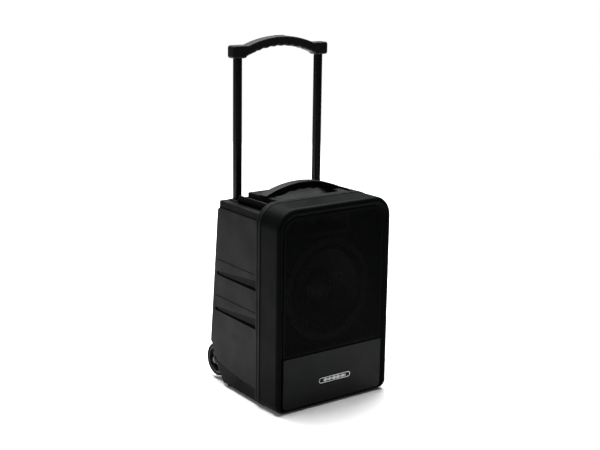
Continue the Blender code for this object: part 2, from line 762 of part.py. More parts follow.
# ---------------------------------------------------------------- rear controls
KNOB_PLACES = [(u, v) for v in (0.030, -0.014) for u in (-0.060, 0.0, 0.060)]
BUTTON_PLACES = [(-0.075 + 0.016 * i, 0.070) for i in range(4)]
ROCKER_PLACE = (0.066, -0.062)
INLET_PLACE = (0.054, -0.108)
JACK_PLACES = [(-0.064, -0.068), (-0.022, -0.068)]
PORT_PLACE = (0.060, 0.100)
SCREW_PLACES = [(u, v) for u in (-0.092, 0.092) for v in (-0.134, 0.134)]


def controls(frame):
    """The control plate on the leaning rear face, and everything on it."""
    holes = [circle(SHAFT_RADIUS + 0.0006, at, 12) for at in KNOB_PLACES]
    holes += [square(BUTTON_HALF + 0.0004, at, 0.001) for at in BUTTON_PLACES]
    holes += [circle(0.0117, at, 20) for at in JACK_PLACES]
    holes.append(rounded_rectangle(0.0065, 0.0095, ROCKER_PLACE, 0.001))
    holes.append(rounded_rectangle(0.0138, 0.0098, INLET_PLACE, 0.003))
    holes.append(rounded_rectangle(0.0072, 0.0032, PORT_PLACE, 0.0005))
    holes += [circle(0.0016, at, 8) for at in SCREW_PLACES]
    outline = rounded_rectangle(PANEL_HALF_WIDTH, PANEL_HALF_HEIGHT, radius=0.006, steps=3)
    tilted(prism("control_plate", [outline, *holes], -PANEL_THICK, 0, "top", STEEL), frame)

    for number, at in enumerate(KNOB_PLACES, 1):
        skirt = KNOB_RADIUS + 0.001
        profile = [
            (0, KNOB_HEIGHT), (KNOB_RADIUS - 0.001, KNOB_HEIGHT), (KNOB_RADIUS, KNOB_HEIGHT - 0.001),
            (skirt, 0.0007),
            (SHAFT_RADIUS, 0.0007), (SHAFT_RADIUS, -0.006), (0, -0.006),
        ]
        knob = turned(f"knob_{number}", profile, 20, (*at, 0), (0, 0, 1), GLOSS, closed=False)
        mark = box(
            f"knob_mark_{number}",
            (at[0] - 0.0007, at[1] + 0.002, KNOB_HEIGHT - 0.001),
            (at[0] + 0.0007, at[1] + KNOB_RADIUS + 0.002, KNOB_HEIGHT + 0.002),
            cutter=True,
        )
        cut(knob, mark)
        tilted(mark, frame)
        pivot(tilted(knob, frame), frame @ Vector((*at, 0)))
    for number, at in enumerate(BUTTON_PLACES, 1):
        button = prism(f"button_{number}", [square(BUTTON_HALF, at, 0.001)], -0.0050, 0.0022, "top", GLOSS)
        pivot(tilted(button, frame), frame @ Vector((*at, 0)))
    rocker_profile = [(-0.0088, -0.004), (0.0088, -0.004), (0.0088, 0.0016), (0, 0.0008), (-0.0088, 0.0032)]
    rocker_profile = [(ROCKER_PLACE[1] + v, w) for v, w in rocker_profile]
    half = 0.0058
    rocker = prism(
        "power_rocker", [rocker_profile], ROCKER_PLACE[0] - half, ROCKER_PLACE[0] + half, "side", GLOSS
    )
    pivot(tilted(rocker, frame), frame @ Vector((*ROCKER_PLACE, -0.001)))

    socket = prism(
        "mains_inlet", [rounded_rectangle(0.0134, 0.0094, INLET_PLACE, 0.003)], -0.018, 0.0, "top", ABS
    )
    rim = prism(
        "inlet_rim",
        [rounded_rectangle(0.0165, 0.0125, INLET_PLACE, 0.003)],
        GAP,
        0.0018,
        "top",
        cutter=True,
    )
    neck = prism(
        "inlet_neck",
        [rounded_rectangle(0.0130, 0.0090, INLET_PLACE, 0.003)],
        -0.005,
        0.001,
        "top",
        cutter=True,
    )
    hollow = prism(
        "inlet_hollow",
        [rounded_rectangle(0.0110, 0.0070, INLET_PLACE, 0.002)],
        -0.014,
        0.01,
        "top",
        cutter=True,
    )
    join(socket, neck, rim)
    cut(socket, hollow)
    for piece in (neck, rim, hollow):
        tilted(piece, frame)
    tilted(socket, frame)
    for number, at in enumerate(JACK_PLACES, 1):
        profile = [
            (0.0145, 0.0020), (0.0145, GAP), (0.0113, GAP), (0.0113, -0.020), (0.0025, -0.020),
            (0.0025, -0.014),
            (0.0080, -0.014), (0.0080, 0.0020),
        ]
        tilted(turned(f"input_jack_{number}", profile, 20, (*at, 0), (0, 0, 1), ABS), frame)
    port = prism(
        "usb_port",
        [
            rounded_rectangle(0.0068, 0.0028, PORT_PLACE, 0.0005),
            rounded_rectangle(0.0060, 0.0020, PORT_PLACE, 0.0003),
        ],
        -0.014, 0.0005, "top", ZINC,
    )
    tilted(port, frame)
    window = prism(
        "display_window",
        [rounded_rectangle(0.034, 0.013, (-0.050, 0.100), 0.002)],
        GAP,
        0.0018,
        "top",
        WINDOW,
    )
    tilted(window, frame)
    for number, at in enumerate(SCREW_PLACES, 1):
        profile = [
            (0, 0.0016), (0.0020, 0.0015), (0.0030, GAP), (0.0014, GAP), (0.0014, -0.0015), (0, -0.0015)
        ]
        tilted(turned(f"plate_screw_{number}", profile, 12, (*at, 0), (0, 0, 1), ZINC, closed=False), frame)
    outline = rounded_rectangle(0.0885, 0.1305, radius=0.003)
    tray = prism("amplifier_tray", [outline], -TRAY_DEEP, -PANEL_THICK - GAP, "top", ZINC)
    room_outline = rounded_rectangle(0.0885 - TRAY_WALL, 0.1305 - TRAY_WALL, radius=0.002)
    room = prism("tray_room", [room_outline], -TRAY_DEEP + TRAY_WALL, 0.01, "top", cutter=True)
    tilted(room, frame)
    cut(tilted(tray, frame), room)
    floor = -TRAY_DEEP + TRAY_WALL + GAP
    outline = rounded_rectangle(0.084, 0.118, (0, 0.006), 0.002)
    board = prism("amplifier_board", [outline], floor, floor + 0.0016, "top", CIRCUIT)
    tilted(board, frame)


def inside():
    """The battery under its bracket, the power supply, and the crossover and receiver boards."""
    floor = SHELL_BOTTOM + WALL + GAP
    front, rear = depth(0.130), depth(0.200)
    top = floor + 0.095
    box("battery", (-0.085, front, floor), (-0.005, rear, top), CELL)
    bracket = box("battery_bracket", (-0.091, front + 0.02, floor), (0.001, rear - 0.02, top + 0.003), ZINC)
    cut(
        bracket, box("bracket_room", (-0.085 - GAP, front, 0), (-0.005 + GAP, rear, top + GAP), cutter=True)
    )
    box("power_supply", (0.010, depth(0.130), floor), (0.090, depth(0.195), floor + 0.050), ZINC)
    back = depth(BAFFLE_FRONT) + BAFFLE_THICK + GAP
    box("crossover_board", (-0.045, back, 0.060), (0.045, back + 0.0016, 0.120), CIRCUIT)
    ceiling = SHOULDER_TOP - WALL - GAP
    box("receiver_module", (-0.035, depth(0.216), ceiling - 0.016), (0.035, depth(0.246), ceiling), ZINC)


def smooth_round_parts():
    """Round pieces are shaded smooth and keep their sharp edges."""
    for piece in PARTS.objects:
        if piece.type == "MESH" and piece.name not in (
            "battery", "battery_bracket", "power_supply", "baffle"
        ):
            piece.data.shade_smooth()
            piece.data.set_sharp_from_angle(angle=math.radians(35))


REAR_FACE = face_frame()
front_bezel()
grille_and_panel()
rear_shell(REAR_FACE)
loudspeakers()
trolley()
carry_handle()
wheels()
controls(REAR_FACE)
inside()
smooth_round_parts()
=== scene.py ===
"""Trolley party speaker: moulded cabinet, steel grille, carry handle, pull-out trolley handle, two wheels."""

import math

import bmesh
import bpy
from mathutils import Matrix, Vector


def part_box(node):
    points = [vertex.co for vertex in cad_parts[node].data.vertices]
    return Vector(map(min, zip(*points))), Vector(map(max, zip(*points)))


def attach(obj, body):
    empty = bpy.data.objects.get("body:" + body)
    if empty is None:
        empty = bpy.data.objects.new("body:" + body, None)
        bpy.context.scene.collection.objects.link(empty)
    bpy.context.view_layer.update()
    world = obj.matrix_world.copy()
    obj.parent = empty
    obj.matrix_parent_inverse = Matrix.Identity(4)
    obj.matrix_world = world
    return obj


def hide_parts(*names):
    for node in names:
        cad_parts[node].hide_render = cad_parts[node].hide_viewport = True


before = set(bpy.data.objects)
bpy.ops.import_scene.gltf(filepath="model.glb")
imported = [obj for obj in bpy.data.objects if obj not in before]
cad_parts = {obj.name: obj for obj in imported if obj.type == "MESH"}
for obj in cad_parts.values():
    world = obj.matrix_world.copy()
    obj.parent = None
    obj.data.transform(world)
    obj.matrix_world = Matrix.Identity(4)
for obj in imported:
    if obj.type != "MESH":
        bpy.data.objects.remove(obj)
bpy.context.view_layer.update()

# ---------------------------------------------------------------- sizes, in metres
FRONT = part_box("front_bezel")[0].y
BEZEL_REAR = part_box("front_bezel")[1].y
BEZEL_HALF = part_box("front_bezel")[1].x
BEZEL_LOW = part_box("front_bezel")[0].z
BEZEL_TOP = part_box("front_bezel")[1].z
TOP_RADIUS = 0.052
BOTTOM_RADIUS = 0.022
LIP_FILLET = 0.0105
LIP_CREST = 0.0095  # how far outside the window the lip's crest runs
WALL = 0.004
GAP = 0.0003  # kept between pieces that touch
KEEP = 0.003  # wall left round a well, a pocket or the scoop
FLANGE = 0.0165  # width of the raised band round the bezel's rear edge
FLANGE_PROUD = 0.0016

SHEET_LOW, SHEET_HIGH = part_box("grille")
COVER_LOW, COVER_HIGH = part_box("lower_panel")
WINDOW_HALF = 0.150
WINDOW_TOP = 0.474
WINDOW_LOW = 0.0085
HOLE_PITCH = 0.0038

SHELL_LOW, SHELL_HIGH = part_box("rear_shell")
SHELL_HALF = SHELL_HIGH.x
SHELL_TAPER = 0.05
SHOULDER = 0.4725
REAR_LEAN = 0.1008
REAR_TOP = 0.266
PANEL_TOP = 0.4545
PANEL_PROUD = 0.003
PANEL_BEHIND = 0.004  # the raised sides end this far behind the rear face
BAND_PROUD = 0.0015  # the bands stand this far out from the raised sides
# each band: its bottom at the rear and at the front, its top, and how tall the slot below is at the front
BANDS = ((0.2935, 0.3115, 0.3295, 0.0275), (0.2005, 0.2180, 0.2360, 0.0280))
DECK_HALF = 0.1075
DECK_REAR = 0.212
CHEEK_INNER = 0.133
CHEEK_OUTER = 0.139
CHEEK_REAR = 0.209
CHEEK_TOP = 0.4925
POCKET_FLOOR = 0.452
SCOOP_RADIUS = 0.065
SCOOP_HALF = 0.086
SCOOP_AXIS = 0.047  # height of the scoop's axis above the deck

TUBE_X = 0.1203
TUBE_DEPTH = 0.239
GRIP_LOW, GRIP_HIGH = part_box("trolley_grip")
HANDLE_LOW, HANDLE_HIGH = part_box("carry_handle")

WHEEL_DEPTH = 0.301
WHEEL_Z = 0.0515
WHEEL_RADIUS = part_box("tyre_left")[1].z - WHEEL_Z
WELL_RADIUS = 0.0475
WELL_INNER = 0.113
WELL_OUTER = 0.148
RIM_RADIUS = 0.0345

PLATE_Z = 0.268
LEAN = math.atan(REAR_LEAN)
SIDES = ((-1, "left"), (1, "right"))


def depth(distance):
    """The y of a point this far behind the bezel's lip."""
    return FRONT + distance


def shell_half(y):
    """Half width of the shell's raised sides at this y."""
    return SHELL_HALF - SHELL_TAPER * (y - BEZEL_REAR)


def rear_y(z, inset=0.0):
    """The y of the leaning rear face at this height."""
    return depth(REAR_TOP + REAR_LEAN * (SHOULDER - z)) - inset


# ---------------------------------------------------------------- materials
def linear(hex_colour):
    """An sRGB hex colour as linear RGBA."""
    parts = [int(hex_colour[i : i + 2], 16) / 255 for i in (0, 2, 4)]
    return (*[p / 12.92 if p <= 0.04045 else ((p + 0.055) / 1.055) ** 2.4 for p in parts], 1.0)


def new_material(name, colour, roughness, metallic=0.0, specular=0.5, coat=0.0):
    made = bpy.data.materials.new(name)
    made.use_nodes = True
    shader = made.node_tree.nodes["Principled BSDF"]
    shader.inputs["Base Color"].default_value = linear(colour)
    shader.inputs["Roughness"].default_value = roughness
    shader.inputs["Metallic"].default_value = metallic
    shader.inputs["Specular IOR Level"].default_value = specular
    shader.inputs["Coat Weight"].default_value = coat
    return made, made.node_tree, shader


def node(tree, kind, settings=None, **links):
    """Adds a node, sets its properties and default inputs, and links the sockets given."""
    made = tree.nodes.new(kind)
    for key, value in (settings or {}).items():
        if key in made.inputs:
            made.inputs[key].default_value = value
        else:
            setattr(made, key, value)
    for key, source in links.items():
        tree.links.new(source, made.inputs[key.replace("_", " ")])
    return made


def texture_grain(tree, shader, grain, strength, distance, spread=None, roughness=None):
    """A fine moulded or coated grain as bump, and a wide soft variation of the roughness."""
    place = node(tree, "ShaderNodeTexCoord").outputs["Object"]
    fine = node(tree, "ShaderNodeTexNoise", {"Scale": 1 / grain, "Detail": 2.0}, Vector=place)
    bump = node(
        tree, "ShaderNodeBump", {"Strength": strength, "Distance": distance}, Height=fine.outputs["Fac"]
    )
    tree.links.new(bump.outputs["Normal"], shader.inputs["Normal"])
    if roughness:
        wide = node(tree, "ShaderNodeTexNoise", {"Scale": 1 / spread, "Detail": 3.0}, Vector=place)
        ramp = node(
            tree,
            "ShaderNodeMapRange",
            {"From Min": 0.3, "From Max": 0.7, "To Min": roughness[0], "To Max": roughness[1]},
            Value=wide.outputs["Fac"],
        )
        tree.links.new(ramp.outputs["Result"], shader.inputs["Roughness"])
    return place, fine


def abs_plastic(name, light, dark, specular, rough, grain=0.0011, strength=0.35):
    """Injection-moulded ABS, spark-eroded grain: matt black that greys where the light grazes it."""
    made, tree, shader = new_material(name, dark, rough, specular=specular)
    place, _ = texture_grain(tree, shader, grain, strength, 0.0002, 0.06, (rough - 0.05, rough + 0.07))
    mottle = node(tree, "ShaderNodeTexNoise", {"Scale": 1 / 0.035, "Detail": 4.0}, Vector=place)
    ramp = node(tree, "ShaderNodeValToRGB", Fac=mottle.outputs["Fac"])
    ramp.color_ramp.elements[0].position = 0.35
    ramp.color_ramp.elements[0].color = linear(dark)
    ramp.color_ramp.elements[1].position = 0.7
    ramp.color_ramp.elements[1].color = linear(light)
    tree.links.new(ramp.outputs["Color"], shader.inputs["Base Color"])
    return made


def powder_coat(name, colour, roughness, specular=0.4):
    """Powder-coated sheet steel: a fine orange-peel skin, satin black."""
    made, tree, shader = new_material(name, colour, roughness, specular=specular)
    texture_grain(tree, shader, 0.0016, 0.25, 0.0002, 0.03, (roughness - 0.05, roughness + 0.06))
    return made


def anodised_tube(name):
    """Black anodised aluminium tube, drawn: faint lines along its length and a tight highlight."""
    made, tree, shader = new_material(name, "060607", 0.34, specular=0.09)
    place = node(tree, "ShaderNodeTexCoord").outputs["Object"]
    along = node(tree, "ShaderNodeMapping", {"Scale": (1.0, 1.0, 0.01)}, Vector=place)
    lines = node(
        tree, "ShaderNodeTexNoise", {"Scale": 1 / 0.0008, "Detail": 2.0}, Vector=along.outputs["Vector"]
    )
    bump = node(tree, "ShaderNodeBump", {"Strength": 0.15, "Distance": 0.0001}, Height=lines.outputs["Fac"])
    tree.links.new(bump.outputs["Normal"], shader.inputs["Normal"])
    return made


def rubber(name, colour, roughness=0.8):
    """Moulded rubber: matt, with a fine bloom."""
    made, tree, shader = new_material(name, colour, roughness, specular=0.12)
    texture_grain(tree, shader, 0.0009, 0.3, 0.0002, 0.02, (roughness - 0.08, roughness + 0.08))
    return made


def metal(name, colour, roughness, grain=0.0006):
    """Bright plated or brushed metal with fine scratches."""
    made, tree, shader = new_material(name, colour, roughness, metallic=1.0)
    texture_grain(tree, shader, grain, 0.12, 0.0001, 0.015, (roughness - 0.06, roughness + 0.1))
    return made


def cone_paper(name):
    """Pressed cone paper, doped black: fibrous, slightly glossy from the dope."""
    made, tree, shader = new_material(name, "060606", 0.30, specular=0.2)
    texture_grain(tree, shader, 0.0024, 0.4, 0.0003, 0.02, (0.26, 0.42))
    return made


# the tub: the lightest black, from a coarse matt grain
SHELL_ABS = abs_plastic("grained_abs_tub", "121413", "0D0F0E", 0.042, 0.50)
# slots, skirts and pockets, where hardly any light gets in: a darker copy of the tub black as painted shade
PAINTED_SHADE_ABS = abs_plastic("abs_painted_recess_shade", "040404", "020202", 0.02, 0.42)
# the bezel: a finer grain, deeper black than the tub
BEZEL_ABS = abs_plastic("grained_abs_bezel", "060707", "040505", 0.020, 0.44, 0.0009, 0.25)
# the cover under the grille: nearly smooth, with a soft sheen
COVER_ABS = abs_plastic("satin_abs_cover", "0B0D0D", "080A0A", 0.08, 0.40, 0.0007, 0.18)
# both handles: a soft grain that the hand has not yet polished
GRIP_ABS = abs_plastic("soft_grain_abs_grips", "0B0C0C", "070808", 0.08, 0.46)
# small mouldings: satin, with a tight highlight along their edges
TRIM_ABS = abs_plastic("satin_abs_trim", "0A0B0B", "070808", 0.16, 0.34, 0.0006, 0.12)
# the grille gives back almost nothing; the control plate is a little glossier
GRILLE_COAT = powder_coat("powder_coated_perforated_steel", "030405", 0.42, 0.02)
PLATE_COAT = powder_coat("powder_coated_plate", "0C0D0E", 0.40, 0.15)
# bare metal, rubber and print
ANODISED = anodised_tube("black_anodised_aluminium")
TYRE_RUBBER = rubber("tyre_rubber", "090909")
FOOT_RUBBER = rubber("foot_rubber", "0F0F0F", 0.75)
ZINC = metal("zinc_plated_steel", "A9ABAC", 0.32)
NICKEL = metal("nickel_plated_brass", "C9C6BE", 0.22)
SILVER_PRINT = new_material("silver_grey_screen_print", "B9BCBE", 0.5)[0]
SILVER_TRIM = new_material("silver_lacquered_aluminium", "E2E4E6", 0.34, metallic=0.25)[0]
# behind the grille and the plate
CONE = cone_paper("doped_cone_paper")
FERRITE = metal("sintered_ferrite", "2A2A2C", 0.55)
BOARD = rubber("black_stained_plywood", "040404", 0.9)
CIRCUIT = new_material("green_solder_mask", "0E3A1C", 0.4)[0]
DISPLAY = new_material("smoked_acrylic_window", "05070A", 0.08, coat=0.4)[0]


# ---------------------------------------------------------------- modelling
def deselect():
    bpy.ops.object.select_all(action="DESELECT")


def only(piece):
    deselect()
    piece.select_set(True)
    bpy.context.view_layer.objects.active = piece
    return piece


def named(name):
    """The new primitive, with its place put into its mesh."""
    piece = only(bpy.context.active_object)
    piece.name = piece.data.name = name
    bpy.ops.object.transform_apply(location=True, rotation=True, scale=True)
    return piece


def block(name, low, high):
    low, high = Vector(low), Vector(high)
    deselect()
    bpy.ops.mesh.primitive_cube_add(size=1, location=(low + high) / 2, scale=high - low)
    return named(name)


def rod(name, radius, low, high, centre, axis, steps=32):
    """A cylinder along the axis from low to high, measured from the centre."""
    axis = Vector(axis).normalized()
    turn = Vector((0, 0, 1)).rotation_difference(axis).to_euler()
    middle = Vector(centre) + axis * (low + high) / 2
    deselect()
    bpy.ops.mesh.primitive_cylinder_add(
        vertices=steps, radius=radius, depth=abs(high - low), location=middle, rotation=turn
    )
    return named(name)


def edit(piece, mode="EDGE"):
    only(piece)
    bpy.ops.object.mode_set(mode="EDIT")
    bpy.ops.mesh.select_mode(type=mode)
    bpy.ops.mesh.select_all(action="SELECT")


def done():
    bpy.ops.object.mode_set(mode="OBJECT")


def slab(name, outline, low, high, facing="front"):
    """A filled outline drawn from a circle's points, extruded from low to high along the axis it faces."""
    deselect()
    bpy.ops.mesh.primitive_circle_add(vertices=len(outline), radius=0.1, fill_type="NGON")
    piece = bpy.context.active_object
    piece.name = piece.data.name = name
    for vertex, (u, v) in zip(piece.data.vertices, outline):
        vertex.co = {"front": (u, low, v), "side": (low, u, v), "top": (u, v, low)}[facing]
    way = {"front": (0, high - low, 0), "side": (high - low, 0, 0), "top": (0, 0, high - low)}[facing]
    edit(piece)
    bpy.ops.mesh.extrude_region_move(TRANSFORM_OT_translate={"value": way})
    bpy.ops.mesh.select_all(action="SELECT")
    bpy.ops.mesh.normals_make_consistent(inside=False)
    done()
    return piece


def turned(name, profile, steps, centre=(0, 0, 0), axis=(0, 0, 1), closed=True):
    """A (radius, along) profile spun round an axis through the centre."""
    deselect()
    bpy.ops.mesh.primitive_circle_add(vertices=len(profile), radius=0.1, fill_type="NOTHING")
    piece = bpy.context.active_object
    piece.name = piece.data.name = name
    for vertex, (radius, along) in zip(piece.data.vertices, profile):
        vertex.co = (radius, 0, along)
    edit(piece)
    if not closed:
        shape = bmesh.from_edit_mesh(piece.data)
        shape.edges.ensure_lookup_table()
        ends = {0, len(profile) - 1}
        for edge in shape.edges:
            edge.select_set({v.index for v in edge.verts} == ends)
        bpy.ops.mesh.delete(type="EDGE")
        bpy.ops.mesh.select_all(action="SELECT")
    bpy.ops.mesh.spin(steps=steps, angle=math.tau, center=(0, 0, 0), axis=(0, 0, 1))
    bpy.ops.mesh.select_all(action="SELECT")
    bpy.ops.mesh.remove_doubles(threshold=1e-6)
    bpy.ops.mesh.normals_make_consistent(inside=False)
    done()
    turn = Vector((0, 0, 1)).rotation_difference(Vector(axis)).to_matrix().to_4x4()
    piece.data.transform(Matrix.Translation(centre) @ turn)
    return piece


def soften(piece, width, segments=3, wanted=None, sharp=30):
    """Bevels the sharp edges, or those of them that are wanted."""
    edit(piece)
    bpy.ops.mesh.select_all(action="DESELECT")
    shape = bmesh.from_edit_mesh(piece.data)
    for edge in shape.edges:
        if len(edge.link_faces) == 2 and edge.calc_face_angle(0) > math.radians(sharp):
            if wanted is None or all(wanted(v.co) for v in edge.verts):
                edge.select_set(True)
    bmesh.update_edit_mesh(piece.data)
    bpy.ops.mesh.bevel(offset=width, segments=segments, affect="EDGES", clamp_overlap=True)
    done()
    return piece


def combine(piece, others, operation):
    """Cuts the others from the piece, or joins them to it."""
    for other in others:
        only(piece)
        change = piece.modifiers.new("Boolean", "BOOLEAN")
        change.operation = operation
        change.object = other
        change.solver = "EXACT"
        bpy.ops.object.modifier_apply(modifier=change.name)
        bpy.data.objects.remove(other)
    return piece


def cut(piece, *others):
    return combine(piece, others, "DIFFERENCE")


def join(piece, *others):
    return combine(piece, others, "UNION")


def together(name, pieces):
    """Several separate shapes as one piece."""
    deselect()
    for piece in pieces:
        piece.select_set(True)
    bpy.context.view_layer.objects.active = pieces[0]
    bpy.ops.object.join()
    pieces[0].name = pieces[0].data.name = name
    return pieces[0]


def smooth(piece, angle=35):
    """Smooth shading that keeps the flats flat."""
    only(piece)
    bpy.ops.object.shade_smooth_by_angle(angle=math.radians(angle))
    weighted = piece.modifiers.new("Weighted", "WEIGHTED_NORMAL")
    weighted.keep_sharp = True
    bpy.ops.object.modifier_apply(modifier=weighted.name)
    return piece


def fit(piece, finish, slot, body, *nodes, angle=35):
    """Gives a finished piece its material and its body, and hides the CAD nodes that it stands for."""
    smooth(piece, angle)
    piece.data.materials.clear()
    piece.data.materials.append(finish)
    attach(piece, body)
    if nodes:
        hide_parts(*nodes)
    return piece


def arc(centre, radius, start, end, steps):
    angles = [math.radians(start + (end - start) * i / steps) for i in range(steps + 1)]
    return [(centre[0] + radius * math.cos(a), centre[1] + radius * math.sin(a)) for a in angles]


def rounded(half, bottom, top, bottom_radius, top_radius, steps=10, centre=0.0):
    """A symmetric upright outline with its own corner radii at the bottom and the top."""
    out = arc((centre + half - bottom_radius, bottom + bottom_radius), bottom_radius, -90, 0, steps)
    out += arc((centre + half - top_radius, top - top_radius), top_radius, 0, 90, steps)
    out += arc((centre - half + top_radius, top - top_radius), top_radius, 90, 180, steps)
    out += arc((centre - half + bottom_radius, bottom + bottom_radius), bottom_radius, 180, 270, steps)
    return out


def lozenge(half_width, half_height, centre=(0, 0), radius=0.002, steps=4):
    low, high = centre[1] - half_height, centre[1] + half_height
    return rounded(half_width, low, high, radius, radius, steps, centre[0])


def mirrored(outline):
    return [(-u, v) for u, v in reversed(outline)]


# ---------------------------------------------------------------- camera, light and floor
def softbox(name, place, target, size, power):
    light = bpy.data.lights.new(name, "AREA")
    light.shape = "RECTANGLE"
    light.size, light.size_y = size
    light.energy = power
    lamp = bpy.data.objects.new(name, light)
    bpy.context.scene.collection.objects.link(lamp)
    lamp.location = place
    lamp.rotation_euler = (Vector(target) - Vector(place)).to_track_quat("-Z", "Y").to_euler()


def studio():
    """A pale round floor in a white surround, two broad lights overhead and two small ones at the left."""
    scene = bpy.context.scene
    scene.view_settings.view_transform = "Standard"
    scene.world = bpy.data.worlds.new("studio")
    scene.world.use_nodes = True
    tree = scene.world.node_tree
    tree.nodes.clear()
    seen = node(tree, "ShaderNodeBackground", {"Color": (1, 1, 1, 1), "Strength": 1.0})
    lit = node(tree, "ShaderNodeBackground", {"Color": (1, 1, 1, 1), "Strength": 0.10})
    path = node(tree, "ShaderNodeLightPath")
    mix = node(tree, "ShaderNodeMixShader", {}, Fac=path.outputs["Is Camera Ray"])
    tree.links.new(lit.outputs[0], mix.inputs[1])
    tree.links.new(seen.outputs[0], mix.inputs[2])
    node(tree, "ShaderNodeOutputWorld", {}, Surface=mix.outputs[0])

    deselect()
    bpy.ops.mesh.primitive_circle_add(vertices=96, radius=2.9, fill_type="NGON", location=(0.5, 0.7, 0))
    floor = named("studio_floor")
    floor.data.materials.append(new_material("white_matt_board", "F2F2F2", 0.9, specular=0.0)[0])
    softbox("overhead", (0.15, 0.45, 2.5), (0, 0.1, 0.3), (2.4, 2.0), 150)
    softbox("rear_overhead", (1.1, 2.0, 3.3), (1.1, 2.0, 0), (4.0, 3.4), 260)
    softbox("front_left_edge", (-2.3, -1.5, 1.5), (0, 0, 0.3), (0.35, 1.4), 4)
    softbox("left", (-2.4, 0.6, 1.7), (0, 0, 0.3), (1.0, 1.0), 11)


def camera():
    """A 72 mm lens from the front left, slightly above."""
    turn, tilt, roll = math.radians(-37.185), math.radians(13.215), math.radians(0.81)
    forward = Vector((-math.sin(turn) * math.cos(tilt), math.cos(turn) * math.cos(tilt), -math.sin(tilt)))
    level = Vector((math.cos(turn), math.sin(turn), 0))
    upright = level.cross(forward)
    right = level * math.cos(roll) + upright * math.sin(roll)
    up = upright * math.cos(roll) - level * math.sin(roll)
    aim = Vector((0.0044, depth(0.150), 0.4122))
    lens = bpy.data.cameras.new("camera")
    lens.lens = 72
    lens.sensor_width = 36
    eye = bpy.data.objects.new("camera", lens)
    bpy.context.scene.collection.objects.link(eye)
    rotation = Matrix((right, up, -forward)).transposed().to_4x4()
    eye.matrix_world = Matrix.Translation(aim - forward * 2.9328) @ rotation
    bpy.context.scene.camera = eye


# ---------------------------------------------------------------- front bezel
def bezel_outline(inset=0.0):
    return rounded(
        BEZEL_HALF - inset, BEZEL_LOW + inset, BEZEL_TOP - inset, BOTTOM_RADIUS - inset, TOP_RADIUS - inset
    )


def window_outline(inset=0.0):
    return rounded(
        WINDOW_HALF - inset, WINDOW_LOW + inset, WINDOW_TOP - inset, 0.012 - inset, 0.036 - inset
    )


def front_bezel():
    """Deep frame: a rounded crest in front falling in to the window, plain sides, a double-ridged flange."""
    body = slab("bezel_frame", bezel_outline(FLANGE_PROUD), depth(0), BEZEL_REAR - 0.0002)
    soften(body, LIP_FILLET, 8, lambda co: co.y < depth(0.001))
    inner, outer = window_outline(), crest_outline()
    window = slab("window", inner, depth(0), depth(0.0085))

    def flare(co):
        if co.y > depth(0.004):
            return co
        number = min(range(len(inner)), key=lambda i: (inner[i][0] - co.x) ** 2 + (inner[i][1] - co.z) ** 2)
        return Vector((outer[number][0], depth(-0.0002), outer[number][1]))

    reshape(window, flare)
    through = slab("through", window_outline(), depth(0.003), depth(0.0085))
    hollow = slab("hollow", bezel_outline(WALL), depth(0.012), BEZEL_REAR + 0.01)
    rim = slab("rim", window_outline(0.004), depth(0.002), depth(0.03))
    cut(body, window, through)
    soften(body, 0.0012, 3, on_crest, sharp=12)
    ridge = FLANGE * 0.40
    for start in (BEZEL_REAR - FLANGE, BEZEL_REAR - ridge):
        edge_band = slab("edge_band", bezel_outline(), start, start + ridge)
        join(body, soften(edge_band, 0.0014, 3))
    middle = slab(
        "flange", bezel_outline(FLANGE_PROUD * 0.6), BEZEL_REAR - FLANGE + 0.001, BEZEL_REAR - 0.001
    )
    join(body, middle)
    cut(body, rim, hollow)
    fit(body, BEZEL_ABS, "black_abs", "cabinet", "front_bezel", angle=30)
    # painted highlight: the flange band's faces take the lighter tub black, so the band reads lighter than
    # the rest of the bezel
    body.data.materials.append(SHELL_ABS)
    for face in body.data.polygons:
        if face.center.y > BEZEL_REAR - FLANGE - 0.0002 and face.normal.y < 0.9:
            face.material_index = 1


def crest_outline():
    """The lip's crest, wider than the window all round but at the bottom, where the cover meets the edge."""
    return rounded(
        WINDOW_HALF + LIP_CREST, WINDOW_LOW - 0.0022, WINDOW_TOP + LIP_CREST, 0.0145, 0.036 + LIP_CREST
    )


def on_crest(co):
    """Whether the point lies on the lip's crest."""
    return co.y < depth(0.0006) and co.z > WINDOW_LOW + 0.02


